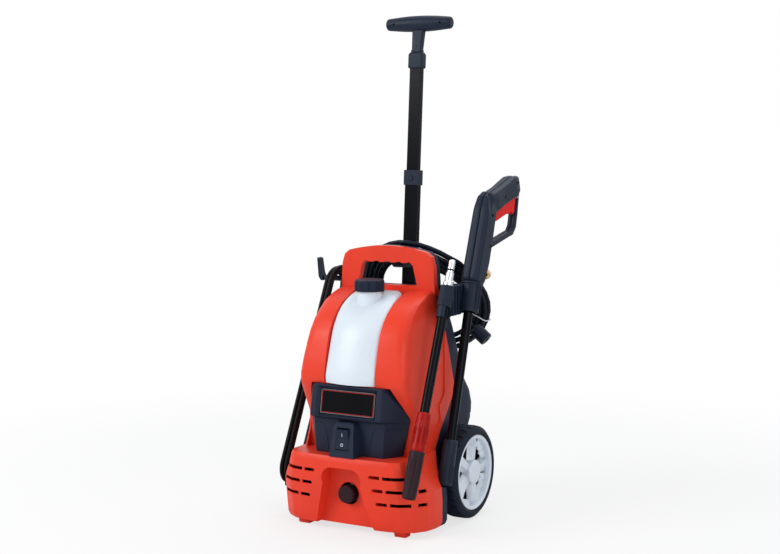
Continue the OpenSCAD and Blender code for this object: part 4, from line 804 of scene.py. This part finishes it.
# round heads with a cross recess, one on each point
def screwTree():
    tree, start, end, ids = newTree("screwHeads", [
        ("Head Radius", "NodeSocketFloat", 3.0), ("Head Height", "NodeSocketFloat", 1.2),
        ("Cross Width", "NodeSocketFloat", 0.8), ("Turn", "NodeSocketRotation", None),
        ("Seed", "NodeSocketInt", screwShape["seed"]), ("Finish", "NodeSocketMaterial", None),
    ])
    add, link = tree.nodes.new, tree.links.new
    radius, height = start.outputs["Head Radius"], start.outputs["Head Height"]
    cross = start.outputs["Cross Width"]
    head = add("GeometryNodeMeshCylinder")
    head.inputs["Vertices"].default_value = screwShape["sides"]
    link(radius, head.inputs["Radius"])
    link(height, head.inputs["Depth"])
    recess = add("GeometryNodeMeshBoolean")
    recess.operation = "DIFFERENCE"
    link(head.outputs["Mesh"], recess.inputs[0])
    for wide, deep in ((radius, cross), (cross, radius)):
        arm = add("GeometryNodeMeshCube")
        link(joinedVector(tree, wide, deep, height), arm.inputs["Size"])
        rise = add("ShaderNodeMath")
        rise.operation = "MULTIPLY"
        rise.inputs[1].default_value = screwShape["recessRise"]
        link(height, rise.inputs[0])
        lifted = add("GeometryNodeTransform")
        link(joinedVector(tree, z=rise.outputs[0]), lifted.inputs["Translation"])
        link(arm.outputs["Mesh"], lifted.inputs["Geometry"])
        link(lifted.outputs["Geometry"], recess.inputs[1])
    spin = add("FunctionNodeRandomValue")
    spin.data_type = "FLOAT"
    spin.inputs[3].default_value = screwShape["mostTurn"]
    link(start.outputs["Seed"], spin.inputs["Seed"])
    own = add("FunctionNodeEulerToRotation")
    link(joinedVector(tree, z=spin.outputs[1]), own.inputs[0])
    facing = add("FunctionNodeRotateRotation")
    facing.rotation_space = "LOCAL"
    link(start.outputs["Turn"], facing.inputs["Rotation"])
    link(own.outputs[0], facing.inputs["Rotate By"])
    copies = add("GeometryNodeInstanceOnPoints")
    link(start.outputs["Geometry"], copies.inputs["Points"])
    link(recess.outputs["Mesh"], copies.inputs["Instance"])
    link(facing.outputs[0], copies.inputs["Rotation"])
    closeTree(tree, start, end, copies)
    return tree, ids


# bars that stand round a ring
def ribTree():
    tree, start, end, ids = newTree("ringRibs", [
        ("Count", "NodeSocketInt", 24), ("Radius", "NodeSocketFloat", 20.0),
        ("Depth", "NodeSocketFloat", 1.0), ("Width", "NodeSocketFloat", 1.0),
        ("Height", "NodeSocketFloat", 10.0), ("Finish", "NodeSocketMaterial", None),
    ])
    add, link = tree.nodes.new, tree.links.new
    ring = add("GeometryNodeMeshCircle")
    link(start.outputs["Count"], ring.inputs["Vertices"])
    link(start.outputs["Radius"], ring.inputs["Radius"])
    rib = add("GeometryNodeMeshCube")
    size = joinedVector(tree, start.outputs["Depth"], start.outputs["Width"], start.outputs["Height"])
    link(size, rib.inputs["Size"])
    where = add("GeometryNodeInputPosition")
    outward = add("FunctionNodeAlignRotationToVector")
    outward.axis = "X"
    link(where.outputs[0], outward.inputs["Vector"])
    copies = add("GeometryNodeInstanceOnPoints")
    link(ring.outputs["Mesh"], copies.inputs["Points"])
    link(rib.outputs["Mesh"], copies.inputs["Instance"])
    link(outward.outputs[0], copies.inputs["Rotation"])
    closeTree(tree, start, end, copies)
    return tree, ids


# copies of a mesh turned round the Z axis
def roundTree():
    tree, start, end, ids = newTree("copiesRoundAxis", [
        ("Count", "NodeSocketInt", 5), ("First Turn", "NodeSocketFloat", 0.0),
        ("Finish", "NodeSocketMaterial", None),
    ])
    add, link = tree.nodes.new, tree.links.new
    row = add("GeometryNodeMeshLine")
    row.inputs["Offset"].default_value = (0, 0, 0)
    link(start.outputs["Count"], row.inputs["Count"])
    index = add("GeometryNodeInputIndex")
    part = add("ShaderNodeMath")
    part.operation = "DIVIDE"
    link(index.outputs[0], part.inputs[0])
    link(start.outputs["Count"], part.inputs[1])
    angle = add("ShaderNodeMath")
    angle.operation = "MULTIPLY_ADD"
    angle.inputs[1].default_value = 2 * math.pi
    link(part.outputs[0], angle.inputs[0])
    link(start.outputs["First Turn"], angle.inputs[2])
    turned = add("FunctionNodeEulerToRotation")
    link(joinedVector(tree, z=angle.outputs[0]), turned.inputs[0])
    copies = add("GeometryNodeInstanceOnPoints")
    link(row.outputs["Mesh"], copies.inputs["Points"])
    link(start.outputs["Geometry"], copies.inputs["Instance"])
    link(turned.outputs[0], copies.inputs["Rotation"])
    closeTree(tree, start, end, copies)
    return tree, ids


screwMaker, ribMaker, roundMaker = screwTree(), ribTree(), roundTree()


def pointSeed(name, points):
    mesh = bpy.data.meshes.new(name)
    mesh.from_pydata([tuple(p) for p in points], [], [])
    return mesh


screwSets = {
    "gunScrews": {
        "body": "gun", "radius": 2.6, "height": 1.0, "place": onGun, "turn": (0, math.pi / 2, 0),
        "points": [(17.15, 20, 66), (17.15, 22, 120), (17.15, 14, 176), (15.5, 60, 222), (16.3, 104, 262)],
    },
    "barScrews": {
        "body": "inner_stage", "radius": 1.8, "height": 0.8, "place": shift(0, 70, 905),
        "turn": (math.pi / 2, 0, 0), "points": [(-48.6, -8.6, 0), (48.6, -8.6, 0)],
    },
    "neckScrew": {
        "body": "inner_stage", "radius": 1.6, "height": 0.8, "place": sitOn("pull_neck", 0, 864),
        "turn": (math.pi / 2, 0, 0), "points": [(0, -0.2, 0)],
    },
}
for name, screw in screwSets.items():
    made = runTree(name, pointSeed(name, screw["points"]), screwMaker, {
        "Head Radius": screw["radius"], "Head Height": screw["height"],
        "Cross Width": screw["radius"] * screwShape["crossShare"], "Turn": screw["turn"],
        "Seed": screwShape["seed"], "Finish": finishes["screw_black"],
    })
    addPiece(name, placeMesh(made, screw["place"]), screw["body"], None)

ribSets = {
    "spareSleeveRibs": {
        "body": "gun_lance", "finish": "black_part", "place": onGun @ shift(0, 0, -300),
        "count": 20, "radius": 13.0, "depth": 0.9, "width": 1.0, "height": 30,
    },
    "sprayRingRibs": {
        "body": "lance", "finish": "nozzle_red", "place": onLance @ shift(0, 0, -232),
        "count": 30, "radius": 12.9, "depth": 0.7, "width": 0.9, "height": 30,
    },
    "holderCupRibs": {
        "body": "housing", "finish": "black_part", "place": onGun @ shift(0, 0, 20),
        "count": 14, "radius": 18.6, "depth": 1.8, "width": 2.4, "height": 40,
    },
}
for name, ribs in ribSets.items():
    made = runTree(name, pointSeed(name, [(0, 0, 0)]), ribMaker, {
        "Count": ribs["count"], "Radius": ribs["radius"], "Depth": ribs["depth"], "Width": ribs["width"],
        "Height": ribs["height"], "Finish": finishes[ribs["finish"]],
    })
    addPiece(name, placeMesh(made, ribs["place"]), ribs["body"], None)

# pleated fans that fill the outer part of each gap between two spokes
wheelFan = {
    "spokes": 5, "first": 54, "pleats": 3, "pleatDepth": 3.2, "pleatFade": 0.4, "thick": 2.2,
    "inner": (51, 30.1, 20.9), "outer": (63.4, 33.6, 22.0),  # radius, height, half angle
    "rows": 6, "columns": 30, "axisHeight": 85, "seat": 113,
}
# dark disc behind the spokes, painted shade that darkens the wheel's windows, as radius and height
wheelShadeDisc = {"profile": [(17, 4), (64.2, 4), (64.2, 26), (63.2, 26), (63.2, 6), (17, 6)]}


# one side of a fan: rows of corners from the hub's end to the rim's
def fanSheet(work, drop):
    rows, columns = wheelFan["rows"], wheelFan["columns"]
    sheet = []
    for i in range(rows + 1):
        t = i / rows
        r, height, half = [a + (b - a) * t for a, b in zip(wheelFan["inner"], wheelFan["outer"])]
        line = []
        for k in range(columns + 1):
            u = k / columns
            a = math.radians(half * (2 * u - 1))
            fold = abs((u * wheelFan["pleats"]) % 1 - 0.5) * 2
            z = height - drop - wheelFan["pleatDepth"] * fold * (1 - wheelFan["pleatFade"] * t)
            line.append(work.verts.new((r * math.cos(a), r * math.sin(a), z)))
        sheet.append(line)
    for a, b in zip(sheet, sheet[1:]):
        for k in range(columns):
            work.faces.new((a[k], a[k + 1], b[k + 1], b[k]))
    return sheet


def rimOf(sheet):
    return sheet[0] + [row[-1] for row in sheet[1:]] + sheet[-1][-2::-1] + [row[0] for row in sheet[-2:0:-1]]


def fanMesh(name):
    work = bmesh.new()
    top, low = rimOf(fanSheet(work, 0)), rimOf(fanSheet(work, wheelFan["thick"]))
    for k in range(len(top)):
        n = (k + 1) % len(top)
        work.faces.new((top[k], top[n], low[n], low[k]))
    return meshOf(name, work)


for name, body, side in (("wheelFansLeft", "wheel_left_set", -1), ("wheelFansRight", "wheel_right_set", 1)):
    made = runTree(name, fanMesh(name), roundMaker, {
        "Count": wheelFan["spokes"], "First Turn": math.radians(wheelFan["first"]),
        "Finish": finishes["wheel_silver"],
    })
    outside = Matrix.Rotation(side * math.pi / 2, 4, "Y")
    onWheel = shift(side * wheelFan["seat"], 0, wheelFan["axisHeight"]) @ outside
    addPiece(name, placeMesh(made, onWheel), body, None)
    smoothUnder(made, 12)
    # a dark disc behind the spokes paints the shade inside the wheel's windows
    shadeDisc = lathe(name.replace("Fans", "ShadeDisc"), wheelShadeDisc["profile"], onWheel)
    smoothUnder(shadeDisc, 40)
    addPiece(shadeDisc.name, shadeDisc, body, "black_part")

# the rolled lip of the cup, as radius and height
cupLip = {"profile": [(18.3, 42.6), (19.9, 43.0), (20.3, 43.6), (20.3, 46.0), (19.8, 46.6), (18.3, 46.8)]}
lip = lathe("holderCupLip", cupLip["profile"], onGun)
smoothUnder(lip, 50)
addPiece("holderCupLip", lip, "housing", "black_part")
print("screws, ribs, wheel fans and cup lip placed")

# floor, lamps and white surroundings
studio = {
    "floor": 30.0, "floorDrop": 0.0005, "floorShade": 0.9,
    "floorClear": (0.55, 1.5), "floorGlow": (0.72, 1.0),  # distance from the part, share of plain white there
    "lamps": [
        # place, aim, size, watts
        ((-1.8, -2.3, 1.9), (0, -0.1, 0.40), 1.5, 52),
        ((2.6, -1.6, 1.3), (0, 0.0, 0.40), 1.6, 22),
        ((0.2, 0.8, 2.6), (0, 0.0, 0.40), 1.8, 26),
    ],
    "dome": 0.40, "domeTint": (0.93, 0.96, 1, 1),
}


# matt to light, and fading to white for the camera, so that the floor has no edge
def paleFloor():
    finish = bpy.data.materials.new("paleFloor")
    finish.use_nodes = True
    nodes, links = finish.node_tree.nodes, finish.node_tree.links
    nodes.clear()
    out = nodes.new("ShaderNodeOutputMaterial")
    matt = nodes.new("ShaderNodeBsdfDiffuse")
    matt.inputs["Color"].default_value = (*[studio["floorShade"]] * 3, 1)
    glow = nodes.new("ShaderNodeEmission")
    glow.inputs["Color"].default_value = (1, 1, 1, 1)
    glow.inputs["Strength"].default_value = 1
    seen = nodes.new("ShaderNodeLightPath")
    here = nodes.new("ShaderNodeTexCoord")
    away = nodes.new("ShaderNodeVectorMath")
    away.operation = "LENGTH"
    clear = nodes.new("ShaderNodeMapRange")
    clear.interpolation_type = "SMOOTHSTEP"
    clear.inputs["From Min"].default_value, clear.inputs["From Max"].default_value = studio["floorClear"]
    clear.inputs["To Min"].default_value, clear.inputs["To Max"].default_value = studio["floorGlow"]
    share = nodes.new("ShaderNodeMath")
    share.operation = "MULTIPLY"
    both = nodes.new("ShaderNodeMixShader")
    links.new(here.outputs["Object"], away.inputs[0])
    links.new(away.outputs["Value"], clear.inputs["Value"])
    links.new(seen.outputs["Is Camera Ray"], share.inputs[0])
    links.new(clear.outputs["Result"], share.inputs[1])
    links.new(share.outputs[0], both.inputs[0])
    links.new(matt.outputs[0], both.inputs[1])
    links.new(glow.outputs[0], both.inputs[2])
    links.new(both.outputs[0], out.inputs["Surface"])
    return finish


# white where the camera, a reflection or a clear piece looks, and a soft dome for everything else
def whiteSurroundings():
    world = bpy.data.worlds.new("studioWorld")
    world.use_nodes = True
    nodes, links = world.node_tree.nodes, world.node_tree.links
    nodes.clear()
    out = nodes.new("ShaderNodeOutputWorld")
    white = nodes.new("ShaderNodeBackground")
    white.inputs["Color"].default_value = (1, 1, 1, 1)
    white.inputs["Strength"].default_value = 1
    dome = nodes.new("ShaderNodeBackground")
    dome.inputs["Color"].default_value = studio["domeTint"]
    dome.inputs["Strength"].default_value = studio["dome"]
    ray = nodes.new("ShaderNodeLightPath")
    cameraOrGloss, anyOfThree = nodes.new("ShaderNodeMath"), nodes.new("ShaderNodeMath")
    cameraOrGloss.operation = anyOfThree.operation = "MAXIMUM"
    pick = nodes.new("ShaderNodeMixShader")
    links.new(ray.outputs["Is Camera Ray"], cameraOrGloss.inputs[0])
    links.new(ray.outputs["Is Glossy Ray"], cameraOrGloss.inputs[1])
    links.new(cameraOrGloss.outputs[0], anyOfThree.inputs[0])
    links.new(ray.outputs["Is Transmission Ray"], anyOfThree.inputs[1])
    links.new(anyOfThree.outputs[0], pick.inputs[0])
    links.new(dome.outputs[0], pick.inputs[1])
    links.new(white.outputs[0], pick.inputs[2])
    links.new(pick.outputs[0], out.inputs["Surface"])
    return world


floorMesh = bpy.data.meshes.new("studioFloor")
sides = ((-1, -1), (1, -1), (1, 1), (-1, 1))
floorCorners = [(x * studio["floor"], y * studio["floor"], -studio["floorDrop"]) for x, y in sides]
floorMesh.from_pydata(floorCorners, [], [(0, 1, 2, 3)])
floorMesh.materials.append(paleFloor())
floor = bpy.data.objects.new("studioFloor", floorMesh)
bpy.context.scene.collection.objects.link(floor)

for i, (place, aim, size, watts) in enumerate(studio["lamps"]):
    lamp = bpy.data.lights.new(f"softLamp{i}", "AREA")
    lamp.size = size
    lamp.energy = watts
    holder = bpy.data.objects.new(f"softLamp{i}", lamp)
    bpy.context.scene.collection.objects.link(holder)
    holder.location = place
    holder.rotation_euler = (Vector(aim) - Vector(place)).to_track_quat("-Z", "Y").to_euler()

bpy.context.scene.world = whiteSurroundings()
bpy.context.scene.view_settings.view_transform = "Standard"
print("studio lit")
